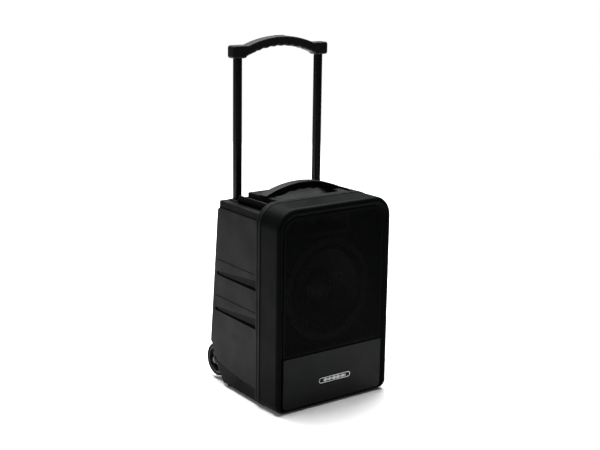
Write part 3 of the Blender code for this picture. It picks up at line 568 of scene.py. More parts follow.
# ---------------------------------------------------------------- grille, lower cover and nameplate
def grille():
    """Sheet steel punched with staggered holes, drawn coarser than the real 2 mm ones, in a folded rim."""
    low = Vector((-WINDOW_HALF, 0, SHEET_LOW.z))
    across = round(2 * WINDOW_HALF / HOLE_PITCH)
    up = round((SHEET_HIGH.z - SHEET_LOW.z) / HOLE_PITCH)
    width, height = across * HOLE_PITCH, up * HOLE_PITCH
    deselect()
    bpy.ops.mesh.primitive_grid_add(x_subdivisions=across, y_subdivisions=up, size=1)
    sheet = bpy.context.active_object
    sheet.name = sheet.data.name = "grille_sheet"
    for vertex in sheet.data.vertices:
        x, y = vertex.co.x, vertex.co.y
        vertex.co = (x * width, depth(0.0072), low.z + (y + 0.5) * height)
    edit(sheet, "FACE")
    bpy.ops.mesh.select_all(action="DESELECT")
    shape = bmesh.from_edit_mesh(sheet.data)
    doomed, holes = [], []
    for face in shape.faces:
        middle = face.calc_center_median()
        column = round((middle.x + width / 2) / HOLE_PITCH - 0.5)
        row = round((middle.z - low.z) / HOLE_PITCH - 0.5)
        if not in_sheet(middle, 0.0035):
            doomed.append(face)
        elif (column + row) % 2 == 0 and in_sheet(middle, 0.0085):
            holes.append(face)
    bmesh.ops.delete(shape, geom=doomed, context="FACES")
    for face in holes:
        face.select_set(True)
    bmesh.update_edit_mesh(sheet.data)
    bpy.ops.mesh.inset(thickness=0.00034, use_individual=True)
    bpy.ops.mesh.bevel(offset=0.00075, affect="VERTICES")
    bpy.ops.mesh.delete(type="FACE")
    done()
    wall = sheet.modifiers.new("Solidify", "SOLIDIFY")
    wall.thickness = 0.0010
    wall.offset = 0
    only(sheet)
    bpy.ops.object.modifier_apply(modifier=wall.name)
    sheet.data.materials.append(GRILLE_COAT)
    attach(sheet, "cabinet")
    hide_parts("grille")

    outer = sheet_outline(0.0006)
    rim = slab("grille_rim", outer, depth(0.0064), depth(0.0082))
    hole = slab("rim_hole", sheet_outline(0.0066), depth(0), depth(0.02))
    cut(rim, hole)
    soften(rim, 0.0006, 2)
    fit(rim, GRILLE_COAT, "black_steel", "cabinet")


def sheet_outline(inset):
    return rounded(
        WINDOW_HALF - inset, SHEET_LOW.z - 0.0006 + inset, WINDOW_TOP - inset, 0.0015, 0.036 - inset
    )


def in_sheet(point, inset):
    """Whether a point is inside the sheet's outline by this much."""
    half, top = WINDOW_HALF - inset, WINDOW_TOP - inset
    if abs(point.x) > half or not SHEET_LOW.z + inset < point.z < top:
        return False
    radius = 0.036 - inset
    x, z = abs(point.x) - (half - radius), point.z - (top - radius)
    return x < 0 or z < 0 or math.hypot(x, z) < radius


def lower_cover():
    """The plain moulded cover below the grille."""
    inset = 0.0009
    outline = rounded(WINDOW_HALF - inset, WINDOW_LOW + inset, COVER_HIGH.z, 0.0115, 0.0015)
    cover = slab("front_cover", outline, COVER_LOW.y, COVER_HIGH.y)
    soften(cover, 0.0012, 3, lambda co: co.y < COVER_LOW.y + 0.001)
    fit(cover, COVER_ABS, "satin_abs", "cabinet", "lower_panel")


def nameplate():
    """A plain pill-shaped plate: a bright border, a dark inlay and a row of level bars."""
    low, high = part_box("nameplate")
    centre = ((low.x + high.x) / 2, (low.z + high.z) / 2)
    half, tall = 0.0475, 0.0066
    plate = slab("badge_frame", lozenge(half, tall, centre, tall - 0.0003, 8), low.y, high.y)
    inner = slab(
        "badge_inner",
        lozenge(half - 0.0012, tall - 0.0012, centre, tall - 0.0016, 8),
        low.y - 1,
        low.y + 0.0005,
    )
    cut(plate, inner)
    soften(plate, 0.0002, 1)
    fit(plate, SILVER_TRIM, "nameplate_aluminium", "cabinet", "nameplate")
    inlay = slab(
        "badge_inlay", lozenge(half - 0.0014, tall - 0.0014, centre, tall - 0.0018, 8), low.y + 0.0003,
        low.y + 0.0007
    )
    fit(inlay, COVER_ABS, "satin_abs", "cabinet")
    bars = []
    count = 17
    for number in range(count):
        x = centre[0] + (number - (count - 1) / 2) * 0.0040
        rise = tall * (0.42 + 0.16 * math.sin(number * 1.9) + 0.08 * math.cos(number * 0.7))
        bars.append(
            block(
                "bar",
                (x - 0.0011, low.y + 0.0001, centre[1] - rise),
                (x + 0.0011, low.y + 0.0005, centre[1] + rise),
            )
        )
    fit(together("badge_bars", bars), SILVER_TRIM, "nameplate_aluminium", "cabinet")


# ---------------------------------------------------------------- rear tub
def reshape(piece, mapping):
    """Moves every point to where the mapping sends it."""
    for vertex in piece.data.vertices:
        vertex.co = mapping(vertex.co)
    edit(piece)
    bpy.ops.mesh.normals_make_consistent(inside=False)
    done()
    return piece


def fender_edge(lift=0.0):
    edge = [
        (0.2470, 0.0090),
        (0.2590, 0.0230),
        (0.2700, 0.0390),
        (0.2790, 0.0550),
        (0.2900, 0.0710),
        (0.3010, 0.0890),
    ]
    return [(depth(d - lift * 0.6), z + lift) for d, z in edge]


def body_outline(inset=0.0, front=BEZEL_REAR + GAP):
    low, top = SHELL_LOW.z + inset, SHOULDER - inset
    return [(front, low), (rear_y(low, inset), low), (rear_y(top, inset), top), (front, top)]


def side_panel(side):
    """A raised side: its lower edge steps over the skirt and follows the fender."""
    front, inset = BEZEL_REAR + 2 * GAP, -PANEL_BEHIND
    lower = [(front, 0.0415), (depth(0.1600), 0.0455), (depth(0.2300), 0.0530)]
    lower += fender_edge(0.0070)[3:]
    radius = 0.010
    corner = (rear_y(PANEL_TOP, inset + radius), PANEL_TOP - radius)
    outline = lower + [(rear_y(0.104, inset), 0.104)] + arc(corner, radius, 0, 90, 6) + [(front, PANEL_TOP)]
    panel = slab("panel", outline, -0.5, 0.5, "side")

    def place(co):
        outer = co.x * side > 0
        return Vector((side * (shell_half(co.y) - (0 if outer else 0.006)), co.y, co.z))

    reshape(panel, place)
    return soften(panel, 0.0022, 4, lambda co: on_outside(co, side) and co.y > front + 0.0005, sharp=15)


def on_outside(co, side):
    return co.x * side > shell_half(co.y) - 0.0005


def band(side, rear_low, front_low, top):
    """A bar standing proud of the side, with a chamfer along its top."""
    front, rear = BEZEL_REAR + 0.0008, rear_y(top, 0.0050)
    outline = [
        (front, front_low),
        (rear, rear_low),
        *arc((rear - 0.002, top - 0.003), 0.003, 0, 90, 4),
        (front, top),
    ]
    bar = slab("band", outline, -0.5, 0.5, "side")

    def place(co):
        outer = co.x * side > 0
        lower = 0.0060 if outer and co.z > top - 0.004 else 0.0
        return Vector((side * (shell_half(co.y) + (BAND_PROUD if outer else -0.004)), co.y, co.z - lower))

    return reshape(bar, place)


def slot_under(side, rear_top, front_top, front_tall):
    """An undercut below a band: a deep flat floor that ramps out to the side at the bottom."""
    front, rear = BEZEL_REAR - 0.004, rear_y(rear_top, 0.0105)
    section = [
        (0.012, 0.002), (0.0025, 0.0), (-0.0048, 0.0), (-0.0048, -0.78), (0.0001, -1.0), (0.012, -1.1)
    ]
    piece = slab("slot", section, front, rear)

    def place(co):
        at_rear = co.y > front + 0.01
        inward = co.x * (0.6 if at_rear and co.x < 0 else 1.0)
        tall, top = (0.0095, rear_top) if at_rear else (front_tall, front_top)
        return Vector((side * (shell_half(co.y) + inward), co.y, top + min(co.z, 0) * tall + max(co.z, 0)))

    return reshape(piece, place)


def wheel_well(side):
    axle = (0, depth(WHEEL_DEPTH), WHEEL_Z)
    low, high = sorted((side * WELL_INNER, side * WELL_OUTER))
    room = rod("well", WELL_RADIUS, low, high, axle, (1, 0, 0), 56)
    corner = block(
        "corner", (low + 0.0003, axle[1] - WELL_RADIUS, -0.01), (high - 0.0003, axle[1] + 0.1, WHEEL_Z)
    )
    return join(room, corner)


def fender_trim(side):
    top = 0.100
    outline = [
        (depth(0.2470), -0.01), *fender_edge(), (depth(0.3060), top), (depth(0.4), top), (depth(0.4), -0.01)
    ]
    low, high = sorted((side * (WELL_INNER + 0.001), side * 0.3))
    return slab("trim", outline, low, high, "side")


def rear_tub():
    """The tub, with its sunk side fields, banded slots, deck, pockets and wheel wells."""
    # the fronts of the pieces joined here are stepped, so that no two of them share a plane
    front = BEZEL_REAR + GAP
    tub = slab("tub_shell", body_outline(), -0.5, 0.5, "side")
    reshape(tub, lambda co: Vector((math.copysign(shell_half(co.y) - PANEL_PROUD, co.x), co.y, co.z)))
    soften(tub, 0.0030, 4, lambda co: co.y > front + 0.004)
    deck = block(
        "deck", (-DECK_HALF, front + 0.0002, SHOULDER - 0.02), (DECK_HALF, depth(DECK_REAR), SHELL_HIGH.z)
    )
    soften(deck, 0.0025, 3, lambda co: co.z > SHOULDER)
    soften(deck, 0.006, 4, lambda co: co.y > depth(DECK_REAR) - 0.001 and abs(co.x) > DECK_HALF - 0.001)
    join(tub, deck)
    for side, _ in SIDES:
        low, high = sorted((side * CHEEK_INNER, side * CHEEK_OUTER))
        rear, top, radius = depth(CHEEK_REAR), CHEEK_TOP, 0.006
        notch = depth(0.182)
        outline = [
            (front + 0.0004, POCKET_FLOOR),
            (rear, POCKET_FLOOR),
            *arc((rear - radius, top - radius), radius, 0, 90, 5),
        ]
        outline += [
            (notch + 0.0035, top), (notch, top - 0.0050), (notch - 0.0020, top), (front + 0.004, top)
        ]
        cheek = slab("cheek", [*outline, (front + 0.0004, top - 0.006)], low, high, "side")
        soften(cheek, 0.0015, 3, lambda co: co.z > SHOULDER + 0.002)
        join(tub, side_panel(side), cheek, *[band(side, *sizes[:3]) for sizes in BANDS])
    cavity = slab("cavity", body_outline(WALL, BEZEL_REAR - 0.002), -0.5, 0.5, "side")
    inner = PANEL_PROUD + WALL
    reshape(cavity, lambda co: Vector((math.copysign(shell_half(co.y) - inner, co.x), co.y, co.z)))
    under_deck = block(
        "under_deck",
        (-DECK_HALF + WALL, BEZEL_REAR - 0.002, SHOULDER - 0.02),
        (DECK_HALF - WALL, depth(DECK_REAR) - WALL, SHELL_HIGH.z - WALL),
    )
    join(cavity, under_deck)
    for side, _ in SIDES:
        low, high = sorted((side * (WELL_INNER - KEEP), side * (WELL_OUTER + KEEP)))
        axle = (0, depth(WHEEL_DEPTH), WHEEL_Z)
        keep = rod("keep", WELL_RADIUS + KEEP, low, high, axle, (1, 0, 0), 40)
        keep = join(
            keep,
            block(
                "keep_low",
                (low + 0.0002, axle[1] - WELL_RADIUS - KEEP, -0.01),
                (high - 0.0002, axle[1] + 0.1, WHEEL_Z),
            ),
        )
        low, high = sorted((side * (DECK_HALF - KEEP), side * (CHEEK_INNER + KEEP)))
        pocket_keep = block(
            "pocket_keep", (low, depth(0.097), POCKET_FLOOR - KEEP), (high, depth(0.207), 0.51)
        )
        cut(cavity, keep, pocket_keep)
    dish = (0, (HANDLE_LOW.y + HANDLE_HIGH.y) / 2, SHELL_HIGH.z + SCOOP_AXIS)
    cut(
        cavity,
        rod("dish_keep", SCOOP_RADIUS + KEEP, -SCOOP_HALF - KEEP, SCOOP_HALF + KEEP, dish, (1, 0, 0), 64),
    )
    cut(tub, cavity)
    scoop = rod("scoop", SCOOP_RADIUS, -SCOOP_HALF, SCOOP_HALF, dish, (1, 0, 0), 96)
    cut(tub, soften(scoop, 0.010, 6, sharp=60))
    for side, _ in SIDES:
        cut(tub, wheel_well(side), fender_trim(side))
        low, high = sorted((side * DECK_HALF, side * CHEEK_INNER))
        pocket = block("pocket", (low, depth(0.100), POCKET_FLOOR), (high, depth(0.204), 0.51))
        cut(tub, pocket)
        cut(tub, *[slot_under(side, rear_low, front_low, tall) for rear_low, front_low, _, tall in BANDS])
        hole = slab(
            "tube_hole", lozenge(0.0114, 0.0114, (side * TUBE_X, depth(TUBE_DEPTH))), 0.45, 0.48, "top"
        )
        hub = (side * WELL_INNER, depth(WHEEL_DEPTH), WHEEL_Z)
        cut(tub, hole, rod("axle_hole", 0.0053, -0.01, 0.01, hub, (1, 0, 0), 24))
    grown = 0.0006
    recess = on_face(
        slab("recess", lozenge(0.098 + grown, 0.140 + grown, radius=0.006), -0.0023, 0.02, "top")
    )
    opening = on_face(slab("opening", lozenge(0.091, 0.133), -0.02, 0.02, "top"))
    cut(tub, recess, opening)
    fit(tub, SHELL_ABS, "black_abs", "cabinet", "rear_shell", angle=30)
    # painted shade: side faces sunk below the raised sides, and those above the raised panels, take the
    # darker copy of the tub black
    tub.data.materials.append(PAINTED_SHADE_ABS)
    for face in tub.data.polygons:
        across, sunk = abs(face.center.x), shell_half(face.center.y) - abs(face.center.x)
        if abs(face.normal.x) > 0.7 and across > 0.130 and (
            sunk > 0.0015 or face.center.z > PANEL_TOP + 0.001
        ):
            face.material_index = 1


def on_face(piece):
    """Moves a shape made about the origin onto the leaning rear face: +Z out of it and +Y up it."""
    out = Vector((0, math.cos(LEAN), math.sin(LEAN)))
    up = Vector((0, -math.sin(LEAN), math.cos(LEAN)))
    turn = Matrix((Vector((-1, 0, 0)), up, out)).transposed().to_4x4()
    piece.data.transform(Matrix.Translation((0, rear_y(PLATE_Z), PLATE_Z)) @ turn)
    return piece


# ---------------------------------------------------------------- trolley handle
def trolley_grip():
    """An arched grip between two end blocks, with finger waves below and the release button's room."""
    y = depth(TUBE_DEPTH)
    half, low, crest = GRIP_HIGH.x, GRIP_LOW.z, GRIP_HIGH.z
    block_top, inner = 0.8465, 0.101

    def underside(x):
        wave = 0.0009 * (1 - math.cos(math.tau * x / 0.0215)) if abs(x) < 0.0752 else 0.0
        return crest - 0.0240 - 2.0 * x * x + wave

    shoulder = math.sqrt((crest - block_top) / 2.0)
    top = [(x, crest - 2.0 * x * x) for x in (shoulder * (1 - i / 15) for i in range(31))]
    end = arc((-half + 0.006, block_top - 0.006), 0.006, 90, 180, 4)
    end += arc((-half + 0.006, low + 0.006), 0.006, 180, 270, 4) + [(-inner - 0.002, low)]
    under = [(x, underside(x)) for x in (inner * (i / 32 - 1) for i in range(65))]
    grip = slab("grip", top + end + under + mirrored(end), GRIP_LOW.y, GRIP_HIGH.y)
    soften(grip, 0.0048, 5, lambda co: on_a_face(co, GRIP_LOW.y, GRIP_HIGH.y), sharp=60)
    room = slab("room", lozenge(0.0155, 0.0065, (0, y), 0.006, 6), crest - 0.008, crest + 0.01, "top")
    cut(grip, room)
    fit(grip, GRIP_ABS, "black_abs", "trolley", "trolley_grip", angle=28)

    button = slab(
        "button", lozenge(0.0150, 0.0060, (0, y), 0.0055, 8), crest - 0.0035, GRIP_HIGH.z + 0.0010, "top"
    )
    soften(button, 0.0009, 3, lambda co: co.z > crest)
    fit(button, TRIM_ABS, "satin_abs", "release_push", "release_button")


def on_a_face(co, front, rear):
    return min(abs(co.y - front), abs(co.y - rear)) < 0.0004


def tubes():
    """Square tubes with a groove drawn down the front face, standing in moulded collars."""
    y = depth(TUBE_DEPTH)
    for side, name in SIDES:
        low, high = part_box("trolley_tube_" + name)
        x = side * TUBE_X
        tube = slab(f"tube_{name}", lozenge(0.0085, 0.0085, (x, y), 0.0026, 5), low.z, high.z, "top")
        groove = slab(
            "groove",
            lozenge(0.0016, 0.0012, (x, y - 0.0086), 0.0006, 3),
            low.z - 0.01,
            high.z + 0.01,
            "top",
        )
        bore = slab("bore", lozenge(0.0069, 0.0069, (x, y), 0.002), low.z - 0.01, high.z + 0.01, "top")
        cut(tube, groove, bore)
        fit(tube, ANODISED, "black_tube", "trolley", "trolley_tube_" + name)
        low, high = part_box("tube_collar_" + name)
        collar = slab(
            f"collar_{name}", lozenge(0.0145, 0.0145, (x, y), 0.003), SHOULDER + GAP, high.z, "top"
        )
        soften(collar, 0.0012, 3, lambda co: co.z > high.z - 0.0005)
        neck = slab("neck", lozenge(0.0108, 0.0108, (x, y), 0.002), low.z, SHOULDER + 0.001, "top")
        hole = slab("hole", lozenge(0.0090, 0.0090, (x, y), 0.0028), low.z - 0.01, high.z + 0.01, "top")
        cut(join(collar, neck), hole)
        fit(collar, TRIM_ABS, "black_abs", "cabinet", "tube_collar_" + name)


def carry_handle():
    """A bow over the scoop in the deck: round in section, with four finger waves below."""
    low, high = HANDLE_LOW, HANDLE_HIGH
    half, foot, base = high.x, 0.088, low.z
    fall = (high.z - base - 0.0037) / half**2

    def underside(x):
        wave = 0.0012 * (1 - math.cos(math.tau * x / 0.0280)) if abs(x) < 0.056 else 0.0
        return max(high.z - fall * x * x - 0.0180 + wave, base)

    top = [(x, high.z - fall * x * x) for x in (half * (1 - i / 20) for i in range(41))]
    under = [(x, underside(x)) for x in (foot * (i / 32 - 1) for i in range(65))]
    handle = slab("handle", top + [(-half, base)] + under + [(half, base)], low.y, high.y)
    soften(handle, 0.0062, 6, lambda co: on_a_face(co, low.y, high.y) and co.z > base + 0.001, sharp=60)
    fit(handle, GRIP_ABS, "black_abs", "cabinet", "carry_handle", angle=28)


# ---------------------------------------------------------------- wheels and feet
def wheels():
    """Ribbed tyres on five-spoked rims, turning on capped bolts."""
    half = (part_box("tyre_right")[1].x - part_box("tyre_right")[0].x) / 2
    middle = (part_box("tyre_right")[1].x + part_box("tyre_right")[0].x) / 2
    for side, name in SIDES:
        centre = (side * middle, depth(WHEEL_DEPTH), WHEEL_Z)
        outer = WHEEL_RADIUS
        tread = [(outer, 0.0068), (outer, 0.0046), (outer - 0.0013, 0.0040), (outer - 0.0013, 0.0030),
                 (outer, 0.0024), (outer, -0.0024), (outer - 0.0013, -0.0030), (outer - 0.0013, -0.0040),
                 (outer, -0.0046), (outer, -0.0068)]
        profile = [(RIM_RADIUS + GAP, half), (outer - 0.0042, half), (outer - 0.0015, half - 0.0022),
                   *tread, (outer - 0.0015, 0.0022 - half), (outer - 0.0042, -half),
                   (RIM_RADIUS + GAP, -half)]
        tyre = turned(f"tyre_{name}", profile, 64, centre, (1, 0, 0))
        fit(tyre, TYRE_RUBBER, "tyre_rubber", "wheel_" + name, "tyre_" + name, angle=28)

        face = half - 0.0015
        dish = [(RIM_RADIUS, face), (RIM_RADIUS, -face), (0.0041, -face), (0.0041, half - 0.0005),
                (0.0105, half - 0.0005), (0.0112, half - 0.0055), (RIM_RADIUS - 0.0052, half - 0.0070),
                (RIM_RADIUS - 0.0042, face)]
        rim = turned(
            f"wheel_rim_{name}", [(radius, along * side) for radius, along in dish], 64, centre, (1, 0, 0)
        )
        windows = []
        for number in range(5):
            first, last = 72 * number - 23, 72 * number + 23
            shape = arc(centre[1:], 0.0268, first, last, 8) + arc(centre[1:], 0.0145, last, first, 6)
            window = slab("window", shape, side * (middle - 0.002), side * 0.17, "side")
            windows.append(soften(window, 0.0022, 3, lambda co: True, sharp=50))
        cut(rim, *windows)
        fit(rim, TRIM_ABS, "satin_abs", "wheel_" + name, "wheel_rim_" + name, angle=30)

        cap = [(0, 0.0175), (0.0045, 0.0171), (0.0078, 0.0160), (0.0090, 0.0146), (0.0090, 0.0125),
               (0.0039, 0.0125), (0.0039, -0.0240), (0, -0.0240)]
        bolt = turned(
            f"axle_bolt_{name}",
            [(radius, along * side) for radius, along in cap],
            40,
            centre,
            (1, 0, 0),
            False,
        )
        fit(bolt, TRIM_ABS, "zinc_steel", "cabinet", "axle_bolt_" + name)


def feet():
    """Rubber feet, each with the recess of its fixing screw."""
    for end in ("front", "rear"):
        for _, name in SIDES:
            low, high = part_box(f"foot_{end}_{name}")
            centre = ((low.x + high.x) / 2, (low.y + high.y) / 2, 0)
            profile = [(0, high.z), (0.0120, high.z), (0.0116, 0.0008), (0.0108, 0.0001), (0.0100, 0),
                       (0.0042, 0), (0.0038, 0.0014), (0, 0.0014)]
            foot = turned(f"foot_{end}_{name}", profile, 40, centre, (0, 0, 1), False)
            fit(foot, FOOT_RUBBER, "rubber", "cabinet", f"foot_{end}_{name}")


# ---------------------------------------------------------------- rear controls
KNOBS = [(u, v) for v in (0.030, -0.014) for u in (-0.060, 0.0, 0.060)]
KEYS = [(-0.075 + 0.016 * i, 0.070) for i in range(4)]
ROCKER = (0.066, -0.062)
INLET = (0.054, -0.108)
JACKS = [(-0.064, -0.068), (-0.022, -0.068)]
PORT = (0.060, 0.100)
READOUT = (-0.050, 0.100)
SCREWS = [(u, v) for u in (-0.092, 0.092) for v in (-0.134, 0.134)]
PROUD = 0.0003  # what lies on the plate clears it by this


def ring(name, outer, inner, low, high):
    """A flat frame between two outlines on the plate."""
    frame_shape = slab(name, outer, low, high, "top")
    return cut(frame_shape, slab("inside", inner, low - 0.01, high + 0.01, "top"))


def control_plate():
    plate = slab("plate", lozenge(0.098, 0.140, radius=0.006), -0.0018, 0, "top")
    soften(plate, 0.0005, 2, lambda co: co.z > -0.0001)
    holes = [rod("hole", 0.0038, -0.01, 0.01, (*at, 0), (0, 0, 1), 20) for at in KNOBS]
    holes += [slab("hole", lozenge(0.0049, 0.0049, at, 0.001), -0.01, 0.01, "top") for at in KEYS]
    holes += [rod("hole", 0.0117, -0.01, 0.01, (*at, 0), (0, 0, 1), 40) for at in JACKS]
    holes.append(slab("hole", lozenge(0.0065, 0.0095, ROCKER, 0.001), -0.01, 0.01, "top"))
    holes.append(slab("hole", lozenge(0.0138, 0.0098, INLET, 0.003), -0.01, 0.01, "top"))
    holes.append(slab("hole", lozenge(0.0072, 0.0032, PORT, 0.0005), -0.01, 0.01, "top"))
    holes += [rod("hole", 0.0016, -0.01, 0.01, (*at, 0), (0, 0, 1), 12) for at in SCREWS]
    cut(plate, *holes)
    fit(on_face(plate), PLATE_COAT, "black_steel", "cabinet", "control_plate")


def knobs():
    """Ribbed knobs with a white pointer, each inside a printed ring of eleven marks."""
    marks = []
    for number, at in enumerate(KNOBS, 1):
        grip = [0.0090 - 0.0006 * (step % 2) for step in range(48)]
        points = [
            (at[0] + r * math.cos(math.tau * i / 48), at[1] + r * math.sin(math.tau * i / 48))
            for i, r in enumerate(grip)
        ]
        knob = slab("knob", points, 0.0030, 0.0130, "top")
        soften(knob, 0.0008, 2, lambda co: co.z > 0.0129, sharp=60)
        skirt = turned(
            "skirt",
            [(0.0100, 0.0007), (0.0100, 0.0018), (0.0090, 0.0034), (0.0060, 0.0040), (0.0060, 0.0007)],
            48,
            (*at, 0),
        )
        shaft = rod("shaft", 0.0030, -0.006, 0.006, (*at, 0), (0, 0, 1), 20)
        inner = rod("inner", 0.0070, 0.0007, 0.008, (*at, 0), (0, 0, 1), 32)
        join(knob, skirt, inner, shaft)
        cut(
            knob,
            block("mark", (at[0] - 0.0006, at[1] + 0.002, 0.0126), (at[0] + 0.0006, at[1] + 0.02, 0.02)),
        )
        fit(on_face(knob), TRIM_ABS, "satin_abs", f"level_{number}", f"knob_{number}", angle=28)
        pointer = block(
            "pointer", (at[0] - 0.0005, at[1] + 0.0021, 0.0124), (at[0] + 0.0005, at[1] + 0.0080, 0.0129)
        )
        pointer.name = f"knob_pointer_{number}"
        fit(on_face(pointer), SILVER_PRINT, "satin_abs", f"level_{number}")
        for step in range(11):
            turn = math.radians(130 - 26 * step)
            tick = block(
                "tick",
                (-0.00025, 0.0122, 0.0),
                (0.00025, 0.0122 + (0.0026 if step in (0, 5, 10) else 0.0016), 0.00012),
            )
            tick.data.transform(Matrix.Translation((*at, 0)) @ Matrix.Rotation(turn, 4, "Z"))
            marks.append(tick)
    for at in KEYS:
        marks.append(
            block("line", (at[0] - 0.0035, at[1] + 0.0072, 0), (at[0] + 0.0035, at[1] + 0.0077, 0.00012))
        )
    marks.append(block("line", (-0.088, 0.0540, 0), (0.088, 0.0545, 0.00012)))
    marks.append(block("line", (-0.088, -0.0405, 0), (0.088, -0.0400, 0.00012)))
    printed = on_face(together("plate_markings", marks))
    printed.data.materials.clear()
    printed.data.materials.append(SILVER_PRINT)
    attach(printed, "cabinet")


def keys_and_readout():
    for number, at in enumerate(KEYS, 1):
        key = slab("key", lozenge(0.0045, 0.0045, at, 0.001, 3), -0.0050, 0.0022, "top")
        soften(key, 0.0006, 2, lambda co: co.z > 0.0021)
        fit(on_face(key), TRIM_ABS, "satin_abs", f"key_{number}", f"button_{number}")
    glass = slab("glass", lozenge(0.0315, 0.0105, READOUT, 0.0015), PROUD, 0.0014, "top")
    fit(on_face(glass), DISPLAY, "display_window", "cabinet", "display_window")
    surround = ring(
        "readout_frame",
        lozenge(0.034, 0.013, READOUT, 0.002),
        lozenge(0.0315, 0.0105, READOUT, 0.0015),
        PROUD,
        0.0018,
    )
    soften(surround, 0.0004, 2, lambda co: co.z > 0.0017)
    fit(on_face(surround), TRIM_ABS, "satin_abs", "cabinet")


def sockets():
    """Two combined jacks, the mains inlet with its three blades, and the media port."""
    for number, at in enumerate(JACKS, 1):
        shell = [(0.0145, PROUD), (0.0145, 0.0014), (0.0138, 0.0020), (0.0090, 0.0020), (0.0084, 0.0012),
                 (0.0080, -0.0080), (0.0034, -0.0080), (0.0032, -0.0190), (0.0113, -0.0200), (0.0113, PROUD)]
        jack = turned("jack", shell, 56, (*at, 0))
        cut(jack, *[
            rod(
                "hole",
                0.0013,
                -0.012,
                0.001,
                (at[0] + 0.0057 * math.sin(turn), at[1] + 0.0057 * math.cos(turn), 0),
                (0, 0, 1),
                16,
            )
            for turn in (0, math.tau / 3, -math.tau / 3)
        ])
        fit(on_face(jack), TRIM_ABS, "satin_abs", "cabinet", f"input_jack_{number}")
    inlet = slab("inlet", lozenge(0.0165, 0.0125, INLET, 0.003), PROUD, 0.0018, "top")
    soften(inlet, 0.0006, 2, lambda co: co.z > 0.0017)
    join(inlet, slab("body", lozenge(0.0130, 0.0090, INLET, 0.003), -0.018, 0.001, "top"))
    cut(inlet, slab("hollow", lozenge(0.0110, 0.0070, INLET, 0.002), -0.014, 0.01, "top"))
    fit(on_face(inlet), TRIM_ABS, "satin_abs", "cabinet", "mains_inlet")
    blades = []
    for u, v in ((-0.0048, -0.0016), (0.0048, -0.0016), (0.0, 0.0026)):
        low = (INLET[0] + u - 0.0009, INLET[1] + v - 0.0019, -0.0145)
        high = (INLET[0] + u + 0.0009, INLET[1] + v + 0.0019, -0.0030)
        blades.append(soften(block("blade", low, high), 0.0003, 1))
    fit(on_face(together("inlet_blades", blades)), NICKEL, "zinc_steel", "cabinet")
    port = ring(
        "port", lozenge(0.0068, 0.0028, PORT, 0.0005), lozenge(0.0060, 0.0020, PORT, 0.0003), -0.014, 0.0005
    )
    fit(on_face(port), NICKEL, "zinc_steel", "cabinet", "usb_port")
    tongue = block(
        "port_tongue",
        (PORT[0] - 0.0055, PORT[1] - 0.0002, -0.013),
        (PORT[0] + 0.0055, PORT[1] + 0.0015, -0.001),
    )
    fit(on_face(tongue), TRIM_ABS, "satin_abs", "cabinet")


def power_switch():
    """A rocker tilted to its off side in a plain frame, marked with a bar and a ring."""
    u, v = ROCKER
    profile = [(-0.0088, -0.004), (0.0088, -0.004), (0.0088, 0.0016), (0, 0.0008), (-0.0088, 0.0032)]
    rocker = slab("rocker", [(v + up, out) for up, out in profile], u - 0.0058, u + 0.0058, "side")
    soften(rocker, 0.0004, 2, lambda co: co.z > 0.0005, sharp=40)
    fit(on_face(rocker), TRIM_ABS, "satin_abs", "power_switch", "power_rocker")
    bar = block("rocker_bar_mark", (u - 0.0003, v + 0.0030, 0.0010), (u + 0.0003, v + 0.0062, 0.0015))
    fit(on_face(bar), SILVER_PRINT, "satin_abs", "power_switch")
    lift = [(0.0017, 0.0021), (0.0017, 0.0026), (0.0012, 0.0026), (0.0012, 0.0021)]
    circle_mark = turned("rocker_ring_mark", lift, 24, (u, v - 0.0048, 0))
    fit(on_face(circle_mark), SILVER_PRINT, "satin_abs", "power_switch")
    surround = ring(
        "rocker_frame",
        lozenge(0.0085, 0.0115, ROCKER, 0.0015),
        lozenge(0.0065, 0.0096, ROCKER, 0.0006),
        PROUD,
        0.0016,
    )
    soften(surround, 0.0004, 2, lambda co: co.z > 0.0015)
    fit(on_face(surround), TRIM_ABS, "satin_abs", "cabinet")


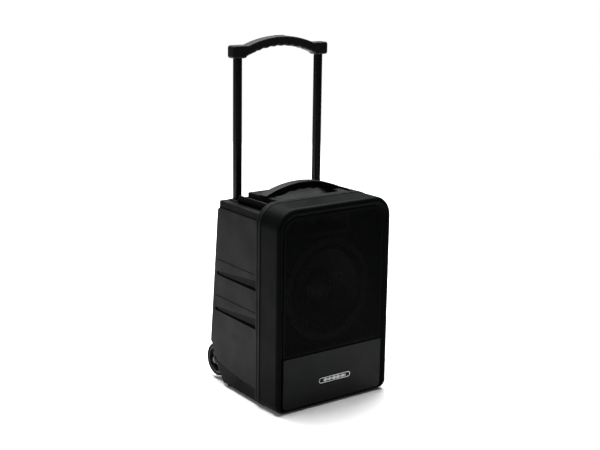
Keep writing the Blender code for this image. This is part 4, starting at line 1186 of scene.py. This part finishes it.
def plate_screws():
    for number, at in enumerate(SCREWS, 1):
        head = [
            (0, 0.0016),
            (0.0014, 0.0015),
            (0.0024, 0.0011),
            (0.0030, PROUD),
            (0.0014, PROUD),
            (0.0014, -0.0015),
            (0, -0.0015),
        ]
        screw = turned("screw", head, 32, (*at, 0), (0, 0, 1), False)
        for wide, tall in ((0.0015, 0.0003), (0.0003, 0.0015)):
            cut(
                screw,
                block("cross", (at[0] - wide, at[1] - tall, 0.0008), (at[0] + wide, at[1] + tall, 0.003)),
            )
        fit(on_face(screw), ZINC, "zinc_steel", "cabinet", f"plate_screw_{number}")


# ---------------------------------------------------------------- inside
def refined(name, finish, slot, body, angle=35):
    """A merged, smooth-shaded copy of a CAD node."""
    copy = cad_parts[name].copy()
    copy.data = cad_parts[name].data.copy()
    copy.name = copy.data.name = name + "_finish"
    bpy.context.scene.collection.objects.link(copy)
    edit(copy)
    bpy.ops.mesh.remove_doubles(threshold=1e-6)
    bpy.ops.mesh.dissolve_limited(angle_limit=math.radians(0.5))
    done()
    fit(copy, finish, slot, body, name, angle=angle)


def loudspeakers_and_boards():
    refined("woofer_cone", CONE, "cone_paper", "cone")
    refined("woofer_dust_cap", CONE, "cone_paper", "cone", 60)
    refined("woofer_surround", FOOT_RUBBER, "rubber", "cabinet", 60)
    refined("woofer_basket", PLATE_COAT, "black_steel", "cabinet")
    refined("woofer_magnet", FERRITE, "ferrite", "cabinet")
    refined("tweeter_horn", TRIM_ABS, "satin_abs", "cabinet")
    refined("tweeter_driver", FERRITE, "ferrite", "cabinet")
    refined("baffle", BOARD, "baffle_board", "cabinet")
    for name in ("sleeve_left", "sleeve_right", "amplifier_tray", "battery_bracket", "power_supply"):
        refined(name, ZINC, "zinc_steel", "cabinet")
    for name in ("amplifier_board", "crossover_board", "receiver_module"):
        refined(name, CIRCUIT, "circuit_board", "cabinet")
    refined("battery", TRIM_ABS, "battery_case", "cabinet")


# ---------------------------------------------------------------- build
studio()
camera()
front_bezel()
grille()
lower_cover()
nameplate()
rear_tub()
trolley_grip()
tubes()
carry_handle()
wheels()
feet()
control_plate()
knobs()
keys_and_readout()
sockets()
power_switch()
plate_screws()
loudspeakers_and_boards()
